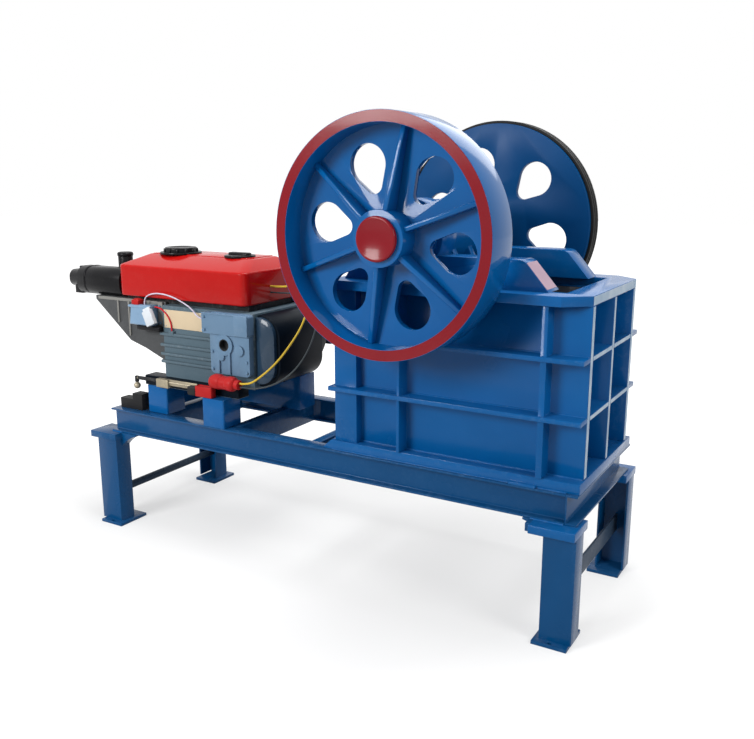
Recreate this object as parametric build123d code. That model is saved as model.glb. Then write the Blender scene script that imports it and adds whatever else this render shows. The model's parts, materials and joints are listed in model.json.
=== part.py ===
from build123d import *
import os
from math import atan2, cos, degrees, radians, tan

os.makedirs("parts", exist_ok=True)

# All sizes are in millimetres. X runs along the skid towards the crusher's ribbed end,
# Y runs across it towards the far flywheel, and Z is up from the ground.
# Places along X are measured from the crusher's ribbed end, and the whole machine is
# moved at the end so that its origin is in the middle of its footprint.

# Clearances
SEAT_GAP = 0.3
HUB_FIT = 0.1
BEARING_FIT = 0.08

# Skid rails
RAIL_BOTTOM_Z = 508.0
RAIL_HEIGHT = 128.0
RAIL_FLANGE_WIDTH = 74.0
RAIL_FLANGE_THICKNESS = 9.0
RAIL_WEB = 7.0
RAIL_ROOT_RADIUS = 5.0
RAIL_CENTRE_Y = 358.0
RAIL_LEFT_X = -2575.0
RAIL_TOP_Z = RAIL_BOTTOM_Z + RAIL_HEIGHT

# Cross beams
BEAM_DEPTH = 50.0
BEAM_WEB = 6.0
ENGINE_BEAM_X = -1744.0
ENGINE_LEFT_BEAM_X = -2260.0
CRUSHER_BEAM_X = -1260.0
END_BEAM_X = 5.0
RAIL_RIGHT_X = END_BEAM_X - BEAM_DEPTH

# Legs
LEG_WIDTH = 136.0
LEG_DEPTH = 95.0
LEG_WEB = 8.0
LEG_FLANGE = 9.0
LEG_FACE_Y = 440.0
LEG_LEFT_X = -2573.0
LEG_RIGHT_X = -46.0
TOP_PLATE_THICKNESS = 35.0
TOP_PLATE_LENGTH = 186.0
TOP_PLATE_WIDTH = 150.0
TOP_PLATE_FRONT_Y = 446.0
LEFT_TOP_SHIFT = -22.0
RIGHT_TOP_SHIFT = -51.0
FOOT_THICKNESS = 15.0
FOOT_LENGTH = 150.0
FOOT_WIDTH = 185.0
FOOT_FRONT_Y = 472.0
LEFT_FOOT_SHIFT = 25.0
RIGHT_FOOT_SHIFT = -15.0
FOOT_BOLT_RADIUS = 9.0
FOOT_BOLT_Y = 456.0
GUSSET_REACH = 105.0
GUSSET_DROP = 75.0
GUSSET_EDGE = 8.0
GUSSET_FRONT_Y = 400.0
GUSSET_BACK_Y = 345.0

# Leg braces
PIPE_RADIUS = 21.0
PIPE_WALL = 4.0
PIPE_Z = 165.0
BAR_HEIGHT = 84.0
BAR_THICKNESS = 10.0
BAR_BOTTOM_Z = 180.0

# Crusher frame
BODY_LENGTH = 1150.0
SIDE_FACE_Y = 316.0
SIDE_THICKNESS = 36.0
BASE_FLANGE_THICKNESS = 43.0
BASE_FLANGE_Y = 376.0
BODY_HEIGHT = 700.0
TOP_FLANGE_THICKNESS = 40.0
FLANGE_Y = 400.0
FLANGE_CORNER_X = 100.0
FLANGE_BACK_OVERHANG = 15.0
RIB_REACH = 80.0
RIB_THICKNESS = 20.0
LOW_RIB_RISE = 248.0
HIGH_RIB_RISE = 490.0
RIGHT_RIB_X = -165.0
RIGHT_RIB_THICKNESS = 26.0
THIN_RIB_X = -810.0
THIN_RIB_THICKNESS = 14.0
POST_WIDTH = 115.0
POST_REACH = 45.0
END_WALL_THICKNESS = 38.0
END_WALL_SET_BACK = 80.0
MIDDLE_RIB_THICKNESS = 30.0
BACK_RIB_REACH = 40.0

TAB_LEFT_X = -289.0
TAB_RIGHT_X = -174.0
TAB_THICKNESS = 12.0
TAB_REACH = 19.0
CORNER_PLATE_LENGTH = 47.0
CORNER_PLATE_DEPTH = 36.0

BODY_Z = RAIL_TOP_Z + BASE_FLANGE_THICKNESS
FLANGE_UNDER_Z = BODY_Z + BODY_HEIGHT
FLANGE_TOP_Z = FLANGE_UNDER_Z + TOP_FLANGE_THICKNESS
SIDE_INNER_Y = SIDE_FACE_Y - SIDE_THICKNESS
FRONT_WALL_X = -END_WALL_SET_BACK - END_WALL_THICKNESS
BACK_WALL_X = -BODY_LENGTH + END_WALL_THICKNESS

# Shaft, bearings and flywheels
SHAFT_X = -785.0
SHAFT_RISE = 203.0
SHAFT_Z = FLANGE_TOP_Z + SHAFT_RISE
SHAFT_RADIUS = 55.0
JOURNAL_RADIUS = 72.0
STAND_INNER_Y = 196.0
STAND_RISE = 120.0
STAND_TOP_Z = FLANGE_TOP_Z + STAND_RISE
STAND_RIGHT_X = -179.0
STAND_SHOULDER_X = -284.0
STAND_LEFT_X = -1120.0
STAND_LEFT_SHOULDER_X = -1040.0
STAND_CORNER_RADIUS = 45.0
HOUSING_RADIUS = 150.0
HOUSING_OVERHANG = 14.0
WHEEL_RADIUS = 488.0
RIM_THICKNESS = 47.0
WEB_THICKNESS = 28.0
NEAR_WHEEL_INNER_Y = -416.0
NEAR_WHEEL_WIDTH = 190.0
NEAR_WEB_START = 56.0
FAR_WHEEL_INNER_Y = 560.0
FAR_WHEEL_WIDTH = 120.0
FAR_WEB_START = 0.0
HUB_RADIUS = 113.0
HUB_RECESS = 6.0
SPOKE_THICKNESS = 22.0
SPOKE_HUB_DROP = 24.0
SPOKE_RIM_DROP = 72.0
HOLE_COUNT = 6
HOLE_BIG_RADIUS = 82.0
HOLE_BIG_PLACE = 304.0
HOLE_SMALL_RADIUS = 38.0
HOLE_SMALL_PLACE = 220.0
NEAR_HOLE_ANGLE = 50.0
FAR_HOLE_ANGLE = 47.0
CAP_RADIUS = 90.0
CAP_THICKNESS = 22.0
CAP_EDGE_RADIUS = 8.0
SHAFT_END_RECESS = 4.0

NEAR_HUB_Y = NEAR_WHEEL_INNER_Y - NEAR_WHEEL_WIDTH + HUB_RECESS
FAR_HUB_Y = FAR_WHEEL_INNER_Y + FAR_WHEEL_WIDTH - HUB_RECESS

# Jaws
PITMAN_BARREL_RADIUS = 140.0
PITMAN_WIDTH = 372.0
PITMAN_DEPTH = 150.0
PITMAN_FACE = 60.0
PITMAN_RIB = 40.0
SEAT_RISE = 10.0
SEAT_HEIGHT = 150.0
JAW_WIDTH = 520.0
JAW_BASE = 28.0
TOOTH_DEPTH = 16.0
TOOTH_COUNT = 10
JAW_TOP_DROP = 9.0
JAW_BOTTOM_RISE = 26.0
JAW_TOP_Z = FLANGE_UNDER_Z - JAW_TOP_DROP
JAW_BOTTOM_Z = BODY_Z + JAW_BOTTOM_RISE
DISCHARGE_GAP = 50.0
FEED_GAPE = 330.0
CHEEK_THICKNESS = 14.0
TOGGLE_THICKNESS = 26.0
TOGGLE_WIDTH = 300.0
TOGGLE_BLOCK_X = -960.0
TOGGLE_BLOCK_LENGTH = 120.0
TOGGLE_BLOCK_RISE = 101.0
TOGGLE_BLOCK_Z = BODY_Z + TOGGLE_BLOCK_RISE
TOGGLE_BLOCK_HEIGHT = 150.0
ROD_RADIUS = 14.0
ROD_RISE = 59.0
ROD_Z = BODY_Z + ROD_RISE
ROD_HOLE_RADIUS = 20.0
ROD_END_REACH = 34.0
WASHER_RADIUS = 34.0
WASHER_THICKNESS = 8.0
NUT_RADIUS = 23.0
NUT_THICKNESS = 20.0

# Engine bed
BLOCK_HEIGHT = 145.0
BLOCK_LENGTH = 138.0
BLOCK_WIDTH = 136.0
BLOCK_CORNER_RADIUS = 10.0
LEFT_BLOCK_RIGHT_X = -2215.0
LEFT_BLOCK_FRONT_Y = -338.0
MIDDLE_BLOCK_RIGHT_X = -1785.0
BED_LEFT_X = -2353.0
BED_RIGHT_X = -1763.0
BED_FRONT_Y = 84.0
STOP_LENGTH = 98.0
STOP_RISE = 39.0
BLOCK_TOP_Z = RAIL_TOP_Z + BLOCK_HEIGHT

# Engine casting
ENGINE_FRONT_Y = -300.0
ENGINE_BACK_Y = 130.0
ENGINE_FOOT_HEIGHT = 50.0
ENGINE_FOOT_LEFT_X = -2370.0
NEAR_FOOT_RIGHT_X = -1740.0
FAR_FOOT_RIGHT_X = -1775.0
NEAR_FOOT_Y = -330.0
FAR_FOOT_Y = 66.0
ENGINE_FOOT_WIDTH = 80.0
CRANKCASE_BOTTOM_Z = BLOCK_TOP_Z + ENGINE_FOOT_HEIGHT
CRANKCASE_HEIGHT = 377.0
CRANKCASE_TOP_Z = CRANKCASE_BOTTOM_Z + CRANKCASE_HEIGHT
CRANKCASE_LEFT_X = -2250.0
CRANKCASE_RIGHT_X = -1660.0
CRANK_X = -1810.0
CRANK_RISE = 218.0
CRANK_Z = CRANKCASE_BOTTOM_Z + CRANK_RISE
REAR_RIGHT_X = -1530.0
REAR_FRONT_Y = -262.0
REAR_BACK_Y = 100.0
REAR_BOTTOM_RISE = 14.0
REAR_TOP_DROP = 8.0
REAR_RADIUS = 110.0
RIDGE_RISES = (84.0, 124.0, 172.0, 229.0)
RIDGE_REACH = 16.0
RIDGE_LEFT_X = -2262.0
NECK_FRONT_Y = -250.0
NECK_BACK_Y = 100.0
NECK_RIGHT_X = -1720.0
NECK_HEIGHT = 32.0

# Gear cover
COVER_LEFT_X = -1905.0
COVER_RISE = 69.0
COVER_THICKNESS = 34.0
COVER_CORNER_RADIUS = 24.0
UPPER_COVER_LEFT_X = -1945.0
UPPER_COVER_RIGHT_X = -1655.0
UPPER_COVER_RISE = 269.0
UPPER_COVER_TOP_DROP = 4.0
UPPER_COVER_REACH = 12.0
CRANK_BOSS_RADIUS = 52.0
CRANK_BOSS_REACH = 10.0
CRANK_HOLE_RADIUS = 30.0
CRANK_HOLE_FLOOR = 8.0
SMALL_BOSSES = ((93.0, -20.0, 26.0), (-22.0, -59.0, 20.0))
COVER_RIB_PLACES = (-38.0, 30.0)
COVER_RIB_THICKNESS = 12.0
COVER_RIB_HEIGHT = 105.0

# Cylinder head and hood
HEAD_FRONT_Y = -275.0
HEAD_BACK_Y = 105.0
HEAD_LEFT_X = -2764.0
HEAD_TOP_RISE = 14.0
HEAD_TOP_Z = CRANKCASE_TOP_Z + HEAD_TOP_RISE
HEAD_OUTLINE = ((0.0, -22.0), (246.0, -228.0), (355.0, -260.0), (474.0, -307.0), (514.0, -342.0))
HEAD_NECK_LEFT_X = -2540.0
HOOD_LEFT_X = -2560.0
HOOD_RIGHT_X = -1700.0
HOOD_BACK_Y = 150.0
HOOD_BOTTOM_Z = CRANKCASE_TOP_Z + NECK_HEIGHT
HOOD_SIDE_HEIGHT = 162.0
HOOD_SLOPE_HEIGHT = 48.0
HOOD_TOP_Z = HOOD_BOTTOM_Z + HOOD_SIDE_HEIGHT + HOOD_SLOPE_HEIGHT
HOOD_FRONT_INSET = 170.0
HOOD_BACK_INSET = 40.0
HOOD_LEFT_INSET = 60.0
HOOD_RIGHT_INSET = 100.0
HOOD_CORNER_RADIUS = 40.0
CAPS_Y = -60.0
WIDE_CAP_X = -2326.0
WIDE_CAP_RADIUS = 110.0
WIDE_CAP_HEIGHT = 36.0
WIDE_CAP_EDGE = 14.0
SMALL_CAP_X = -1922.0
SMALL_CAP_RADIUS = 80.0
SMALL_CAP_HEIGHT = 26.0
SMALL_CAP_EDGE = 6.0

# Air cleaner, exhaust and filter
CLEANER_LEFT_X = -2885.0
CLEANER_Y = -215.0
CLEANER_WIDTH = 156.0
CLEANER_HEIGHT = 152.0
CLEANER_CORNER_RADIUS = 60.0
NOSE_LEFT_X = -2965.0
NOSE_WIDTH = 120.0
NOSE_RISE = 36.0
NOSE_HEIGHT = 92.0
NOSE_CORNER_RADIUS = 40.0
LIP_LENGTH = 55.0
LIP_WIDTH = 90.0
EXHAUST_X = -2715.0
EXHAUST_Y = -90.0
EXHAUST_RADIUS = 40.0
EXHAUST_HEIGHT = 219.0
FILTER_LEFT_X = -2440.0
FILTER_RIGHT_X = -2300.0
FILTER_FOOT_LEFT_X = -2455.0
FILTER_TOP_DROP = 17.0
FILTER_HEIGHT = 108.0
FILTER_DEPTH = 65.0
FILTER_EDGE = 12.0

# Drive
ENGINE_WHEEL_GAP = 20.0
ENGINE_WHEEL_RADIUS = 225.0
ENGINE_WHEEL_WIDTH = 85.0
ENGINE_WHEEL_EDGE = 6.0
CRANK_STUB_RADIUS = 60.0
PULLEY_RADIUS = 150.0
PULLEY_WIDTH = 96.0
PULLEY_HUB_RADIUS = 70.0
BELT_COUNT = 3
BELT_WIDTH = 20.0
BELT_THICKNESS = 14.0
BELT_PITCH = 28.0
BELT_FIRST_Y = FAR_WHEEL_INNER_Y + 32.0

# Lever, boot and pad
LEVER_LEFT_X = -2417.0
LEVER_RIGHT_X = -1925.0
LEVER_Y = -345.0
LEVER_RISE = 34.0
LEVER_RADIUS = 8.0
LEVER_BALL_DROP = 43.0
LEVER_BALL_RADIUS = 18.0
LUG_LEFT_X = -2264.0
LUG_RIGHT_X = -2183.0
LUG_FRONT_Y = -360.0
LUG_RISE = 5.0
LUG_HEIGHT = 43.0
BOOT_LEFT_X = -1877.0
BOOT_RIGHT_X = -1695.0
BOOT_Y = -372.0
BOOT_RISE = 87.0
BOOT_RADIUS = 38.0
CLAMP_LEFT_X = -1967.0
CLAMP_RIGHT_X = -1860.0
CLAMP_FRONT_Y = -395.0
CLAMP_BACK_Y = -357.0
CLAMP_HEIGHT = 58.0
TERMINAL_LEFT_X = -2021.0
TERMINAL_HEIGHT = 46.0
PAD_LEFT_X = -2545.0
PAD_STEP_X = -2455.0
PAD_RIGHT_X = -2385.0
PAD_FRONT_Y = -350.0
PAD_BACK_Y = -290.0
PAD_HEIGHT = 55.0
PAD_STEP_HEIGHT = 33.0

# Cables: diameters, then bends with heights above the engine's bed
ARC_SHARE = 0.45
YELLOW_DIAMETER = 10.0
YELLOW_RISE = 8.0
YELLOW_END_Y = -100.0
YELLOW_END_RISE = 539.0
YELLOW_BENDS = ((-1640.0, -372.0, 95.0), (-1581.0, -358.0, 136.0), (-1525.0, -345.0, 184.0),
                (-1470.0, -335.0, 241.0), (-1420.0, -325.0, 307.0), (-1380.0, -300.0, 379.0),
                (-1372.0, -255.0, 451.0), (-1405.0, -205.0, 511.0), (-1470.0, -160.0, 547.0),
                (-1550.0, -120.0, 555.0), (-1628.0, -100.0, 539.0))
GREY_DIAMETER = 8.0
GREY_DROP = 9.0
GREY_END_Y = -100.0
GREY_END_RISE = 509.0
GREY_BENDS = ((-1640.0, -372.0, 78.0), (-1576.0, -362.0, 84.0), (-1510.0, -352.0, 106.0),
              (-1445.0, -345.0, 143.0), (-1385.0, -338.0, 194.0), (-1338.0, -325.0, 259.0),
              (-1312.0, -298.0, 334.0), (-1318.0, -255.0, 404.0), (-1356.0, -208.0, 459.0),
              (-1420.0, -165.0, 497.0), (-1500.0, -130.0, 514.0), (-1572.0, -107.0, 515.0),
              (-1635.0, -100.0, 509.0))
HOSE_DIAMETER = 8.0
HOSE_START_Y = -306.0
HOSE_START_RISE = 415.0
HOSE_BENDS = ((-2262.0, -306.0, 415.0), (-2222.0, -308.0, 391.0), (-2198.0, -309.0, 365.0),
              (-2182.0, -310.0, 331.0))
HOSE_END_X = -2182.0
HOSE_END_Y = -310.0
STUB_LENGTH = 30.0
STUB_REACH = 18.0
STUB_BOTTOM_RISE = 279.0
STUB_TOP_RISE = 299.0
PALE_DIAMETER = 7.0
PALE_START_X = -2362.0
PALE_START_Y = -312.0
PALE_END_Y = -324.0
PALE_END_RISE = 384.0
PALE_BENDS = ((-2362.0, -312.0, 459.0), (-2305.0, -318.0, 485.0), (-2235.0, -321.0, 491.0),
              (-2160.0, -322.0, 481.0), (-2090.0, -323.0, 459.0), (-2025.0, -324.0, 429.0),
              (-1985.0, -324.0, 384.0))

# The machine's middle, between the air cleaner and the right leg and between the two hub caps
CENTRE_X = (NOSE_LEFT_X + LEG_RIGHT_X + LEG_WIDTH / 2) / 2
CENTRE_Y = (NEAR_HUB_Y + FAR_HUB_Y) / 2


def save(name, shape):
    """Writes one piece in the machine's own frame."""
    export_step(Pos(-CENTRE_X, -CENTRE_Y, 0) * shape, f"parts/{name}.step")


def block(x0, x1, y0, y1, z0, z1):
    """A straight block between two corners."""
    middle = Pos((x0 + x1) / 2, (y0 + y1) / 2, (z0 + z1) / 2)
    return middle * Box(abs(x1 - x0), abs(y1 - y0), abs(z1 - z0))


def drum_y(x, z, y0, y1, radius):
    """A round bar across the machine."""
    return Pos(x, (y0 + y1) / 2, z) * Rot(90, 0, 0) * Cylinder(radius, abs(y1 - y0))


def drum_x(x0, x1, y, z, radius):
    """A round bar along the machine."""
    return Pos((x0 + x1) / 2, y, z) * Rot(0, 90, 0) * Cylinder(radius, abs(x1 - x0))


def drum_z(x, y, z0, z1, radius):
    """An upright round bar."""
    return Pos(x, y, (z0 + z1) / 2) * Cylinder(radius, abs(z1 - z0))


def slab_xz(points, y0, y1):
    """A plate cut to a side view outline, between two places across the machine."""
    face = make_face(Polyline(*[(x, min(y0, y1), z) for x, z in points], close=True))
    return extrude(face, amount=abs(y1 - y0), dir=(0, 1, 0))


def slab_xy(points, z0, z1):
    """A plate cut to a plan outline, between two heights."""
    face = make_face(Polyline(*[(x, y, z0) for x, y in points], close=True))
    return extrude(face, amount=z1 - z0, dir=(0, 0, 1))


def mirror_y(shape):
    """The same piece on the other side of the machine."""
    return mirror(shape, about=Plane.XZ)


# Skid
def rail():
    """A rolled beam with its flanges standing out from the web on both sides."""
    hollow_width = (RAIL_FLANGE_WIDTH - RAIL_WEB) / 2
    hollow = Rectangle(hollow_width, RAIL_HEIGHT - 2 * RAIL_FLANGE_THICKNESS)
    hollow = fillet(hollow.vertices(), RAIL_ROOT_RADIUS)
    offset = (RAIL_WEB + hollow_width) / 2
    outline = Rectangle(RAIL_FLANGE_WIDTH, RAIL_HEIGHT)
    outline -= Pos(offset, 0) * hollow
    outline -= Pos(-offset, 0) * hollow
    outline -= Pos(RAIL_FLANGE_WIDTH / 2, 0) * Rectangle(20, RAIL_HEIGHT - 2 * RAIL_FLANGE_THICKNESS)
    outline -= Pos(-RAIL_FLANGE_WIDTH / 2, 0) * Rectangle(20, RAIL_HEIGHT - 2 * RAIL_FLANGE_THICKNESS)
    bar = extrude(Plane.YZ * outline, amount=RAIL_RIGHT_X - RAIL_LEFT_X)
    return Pos(RAIL_LEFT_X, -RAIL_CENTRE_Y, RAIL_BOTTOM_Z + RAIL_HEIGHT / 2) * bar


def cross_beam(web_x, open_side, half_width):
    """A channel across the skid: web_x is its web's outer face, open_side is +1 or -1 along X."""
    beam = block(web_x, web_x + open_side * BEAM_DEPTH, -half_width, half_width, RAIL_BOTTOM_Z, RAIL_TOP_Z)
    beam -= block(web_x + open_side * BEAM_WEB, web_x + open_side * (BEAM_DEPTH + 1), -half_width, half_width,
                  RAIL_BOTTOM_Z + RAIL_FLANGE_THICKNESS, RAIL_TOP_Z - RAIL_FLANGE_THICKNESS)
    return beam


def cross_beams():
    """The channels between the rails, and the one that closes the crusher's end."""
    inner = RAIL_CENTRE_Y - RAIL_FLANGE_WIDTH / 2
    outer = RAIL_CENTRE_Y + RAIL_FLANGE_WIDTH / 2
    beams = [cross_beam(RAIL_LEFT_X, 1, inner),
             cross_beam(ENGINE_LEFT_BEAM_X, -1, inner),
             cross_beam(ENGINE_BEAM_X, -1, inner),
             cross_beam(CRUSHER_BEAM_X, -1, inner),
             cross_beam(RAIL_RIGHT_X, 1, outer)]
    return Compound(beams)


def leg(x, top_shift, foot_shift, inward):
    """A channel leg on its foot plate, with a thick top plate and a curved gusset under the rail."""
    post_top = RAIL_BOTTOM_Z - TOP_PLATE_THICKNESS
    left = x - LEG_WIDTH / 2
    right = x + LEG_WIDTH / 2
    back = -LEG_FACE_Y + LEG_DEPTH
    post = block(left, right, -LEG_FACE_Y, back, FOOT_THICKNESS, post_top)
    post -= block(left + LEG_FLANGE, right - LEG_FLANGE, -LEG_FACE_Y + LEG_WEB, back + 1,
                  FOOT_THICKNESS, post_top)
    top_x = x + top_shift
    top = block(top_x - TOP_PLATE_LENGTH / 2, top_x + TOP_PLATE_LENGTH / 2, -TOP_PLATE_FRONT_Y,
                -TOP_PLATE_FRONT_Y + TOP_PLATE_WIDTH, post_top, RAIL_BOTTOM_Z)
    foot_x = x + foot_shift
    foot = block(foot_x - FOOT_LENGTH / 2, foot_x + FOOT_LENGTH / 2, -FOOT_FRONT_Y,
                 -FOOT_FRONT_Y + FOOT_WIDTH, 0, FOOT_THICKNESS)
    foot -= drum_z(foot_x, -FOOT_BOLT_Y, -1, FOOT_THICKNESS + 1, FOOT_BOLT_RADIUS)
    return post + top + foot + leg_gusset(x + inward * LEG_WIDTH / 2, inward)


def leg_gusset(side_x, inward):
    """The curved plate between a leg's side and the rail's underside."""
    low = RAIL_BOTTOM_Z - GUSSET_DROP
    tip = side_x + inward * GUSSET_REACH
    belly = (side_x + inward * GUSSET_REACH * 0.45, RAIL_BOTTOM_Z - GUSSET_DROP * 0.45)
    start = (side_x, low)
    end = (tip, RAIL_BOTTOM_Z - GUSSET_EDGE)
    outline = (Line((side_x, RAIL_BOTTOM_Z), start) + ThreePointArc(start, belly, end)
               + Line(end, (tip, RAIL_BOTTOM_Z)) + Line((tip, RAIL_BOTTOM_Z), (side_x, RAIL_BOTTOM_Z)))
    face = Plane.XZ.offset(GUSSET_FRONT_Y) * make_face(outline)
    return extrude(face, amount=GUSSET_FRONT_Y - GUSSET_BACK_Y, dir=(0, 1, 0))


def leg_braces():
    """The round pipe between the left legs and the wide flat bar between the right ones."""
    reach = LEG_FACE_Y - LEG_WEB
    pipe = drum_y(LEG_LEFT_X, PIPE_Z, -reach, reach, PIPE_RADIUS)
    pipe -= drum_y(LEG_LEFT_X, PIPE_Z, -reach, reach, PIPE_RADIUS - PIPE_WALL)
    bar = block(LEG_RIGHT_X - BAR_THICKNESS / 2, LEG_RIGHT_X + BAR_THICKNESS / 2, -reach, reach,
                BAR_BOTTOM_Z, BAR_BOTTOM_Z + BAR_HEIGHT)
    return Compound([pipe, bar])


def engine_blocks():
    """The two near box blocks and the far bed that lift the engine off the skid."""
    places = [(LEFT_BLOCK_RIGHT_X, LEFT_BLOCK_FRONT_Y),
              (MIDDLE_BLOCK_RIGHT_X, -RAIL_CENTRE_Y - RAIL_FLANGE_WIDTH / 2)]
    blocks = []
    for right_x, front_y in places:
        one = block(right_x - BLOCK_LENGTH, right_x, front_y, front_y + BLOCK_WIDTH, RAIL_TOP_Z, BLOCK_TOP_Z)
        blocks.append(fillet(one.edges().filter_by(Axis.Z), BLOCK_CORNER_RADIUS))
    bed = block(BED_LEFT_X, BED_RIGHT_X, BED_FRONT_Y, BED_FRONT_Y + BLOCK_WIDTH, RAIL_TOP_Z, BLOCK_TOP_Z)
    bed += block(BED_RIGHT_X, BED_RIGHT_X + STOP_LENGTH, BED_FRONT_Y, BED_FRONT_Y + BLOCK_WIDTH,
                 RAIL_TOP_Z, BLOCK_TOP_Z + STOP_RISE)
    return Compound(blocks + [bed])


# Crusher frame
def side_wall():
    """The near side plate with its long ribs, upright ribs and corner post."""
    wall = block(-BODY_LENGTH, 0, -SIDE_FACE_Y, -SIDE_INNER_Y, BODY_Z, FLANGE_UNDER_Z)
    for rise in (LOW_RIB_RISE, HIGH_RIB_RISE):
        z = BODY_Z + rise
        wall += block(-BODY_LENGTH - FLANGE_BACK_OVERHANG, 0, -SIDE_FACE_Y - RIB_REACH, -SIDE_FACE_Y,
                      z - RIB_THICKNESS / 2, z + RIB_THICKNESS / 2)
    for x, thickness in ((RIGHT_RIB_X, RIGHT_RIB_THICKNESS), (THIN_RIB_X, THIN_RIB_THICKNESS)):
        wall += block(x - thickness / 2, x + thickness / 2, -SIDE_FACE_Y - RIB_REACH + 10, -SIDE_FACE_Y,
                      BODY_Z, FLANGE_UNDER_Z)
    wall += block(-BODY_LENGTH, -BODY_LENGTH + POST_WIDTH, -SIDE_FACE_Y - POST_REACH, -SIDE_FACE_Y,
                  BODY_Z, FLANGE_UNDER_Z)
    return wall


def front_wall():
    """The wall at the ribbed end, set back between the side plates, with its ribs."""
    wall = block(FRONT_WALL_X, -END_WALL_SET_BACK, -SIDE_INNER_Y, SIDE_INNER_Y, BODY_Z, FLANGE_UNDER_Z)
    wall += block(-END_WALL_SET_BACK, 0, -MIDDLE_RIB_THICKNESS / 2, MIDDLE_RIB_THICKNESS / 2,
                  BODY_Z, FLANGE_UNDER_Z)
    for rise in (LOW_RIB_RISE, HIGH_RIB_RISE):
        z = BODY_Z + rise
        wall += block(-END_WALL_SET_BACK, 0, -SIDE_INNER_Y, SIDE_INNER_Y,
                      z - RIB_THICKNESS / 2, z + RIB_THICKNESS / 2)
    return wall


def back_wall():
    """The wall at the engine's side, with two ribs and the hole for the tension rod."""
    wall = block(-BODY_LENGTH, BACK_WALL_X, -SIDE_INNER_Y, SIDE_INNER_Y, BODY_Z, FLANGE_UNDER_Z)
    for rise in (LOW_RIB_RISE, HIGH_RIB_RISE):
        z = BODY_Z + rise
        wall += block(-BODY_LENGTH - BACK_RIB_REACH, -BODY_LENGTH, -SIDE_INNER_Y, SIDE_INNER_Y,
                      z - RIB_THICKNESS / 2, z + RIB_THICKNESS / 2)
    wall -= drum_x(-BODY_LENGTH - 1, BACK_WALL_X + 1, 0, ROD_Z, ROD_HOLE_RADIUS)
    return wall


def top_flange():
    """The thick plate round the feed opening, with its outer corners cut off."""
    left = -BODY_LENGTH - FLANGE_BACK_OVERHANG
    outline = [(left, -FLANGE_Y), (-FLANGE_CORNER_X, -FLANGE_Y), (0, -SIDE_FACE_Y), (0, SIDE_FACE_Y),
               (-FLANGE_CORNER_X, FLANGE_Y), (left, FLANGE_Y)]
    plate = slab_xy(outline, FLANGE_UNDER_Z, FLANGE_TOP_Z)
    return plate - block(BACK_WALL_X, FRONT_WALL_X, -SIDE_INNER_Y, SIDE_INNER_Y,
                         FLANGE_UNDER_Z - 1, FLANGE_TOP_Z + 1)


def base_flange():
    """The thick plate that the crusher stands on, open under the jaws, with its tab and corner plates."""
    left = -BODY_LENGTH - FLANGE_BACK_OVERHANG
    plate = block(left, END_BEAM_X, -BASE_FLANGE_Y, BASE_FLANGE_Y, RAIL_TOP_Z, BODY_Z)
    plate -= block(BACK_WALL_X, FRONT_WALL_X, -SIDE_INNER_Y, SIDE_INNER_Y, RAIL_TOP_Z - 1, BODY_Z + 1)
    plate += block(TAB_LEFT_X, TAB_RIGHT_X, -BASE_FLANGE_Y - TAB_REACH, -BASE_FLANGE_Y,
                   RAIL_TOP_Z, RAIL_TOP_Z + TAB_THICKNESS)
    corner = slab_xz([(left - CORNER_PLATE_LENGTH, RAIL_TOP_Z), (left, RAIL_TOP_Z), (left, BODY_Z)],
                     -BASE_FLANGE_Y, -BASE_FLANGE_Y + CORNER_PLATE_DEPTH)
    return plate + corner + mirror_y(corner)


def bearing_stand():
    """The sloping stand on the top flange and the round bearing housing in it."""
    outline = [(STAND_LEFT_X, FLANGE_TOP_Z), (STAND_RIGHT_X, FLANGE_TOP_Z), (STAND_SHOULDER_X, STAND_TOP_Z),
               (STAND_LEFT_SHOULDER_X, STAND_TOP_Z)]
    stand = slab_xz(outline, -SIDE_FACE_Y, -STAND_INNER_Y)
    shoulders = stand.edges().filter_by(Axis.Y).group_by(Axis.Z)[-1]
    stand = fillet(shoulders, STAND_CORNER_RADIUS)
    stand += drum_y(SHAFT_X, SHAFT_Z, -SIDE_FACE_Y - HOUSING_OVERHANG, -STAND_INNER_Y, HOUSING_RADIUS)
    return stand - drum_y(SHAFT_X, SHAFT_Z, -SIDE_FACE_Y - HOUSING_OVERHANG - 1, -STAND_INNER_Y + 1,
                          SHAFT_RADIUS + BEARING_FIT)


# Rotor
def shaft():
    """The stepped shaft that carries the jaw and both flywheels."""
    journal = PITMAN_WIDTH / 2
    return (drum_y(SHAFT_X, SHAFT_Z, NEAR_HUB_Y + SHAFT_END_RECESS, FAR_HUB_Y - SHAFT_END_RECESS, SHAFT_RADIUS)
            + drum_y(SHAFT_X, SHAFT_Z, -journal, journal, JOURNAL_RADIUS))


def egg_hole(angle):
    """One lightening hole of the web, wide outwards and narrow towards the hub."""
    big = Pos(HOLE_BIG_PLACE, 0) * Circle(HOLE_BIG_RADIUS)
    small = Pos(HOLE_SMALL_PLACE, 0) * Circle(HOLE_SMALL_RADIUS)
    outline = make_hull(big.edges() + small.edges())
    hole = extrude(outline, amount=WEB_THICKNESS + 2)
    return Rot(0, 0, angle) * Pos(0, 0, -1) * hole


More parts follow.
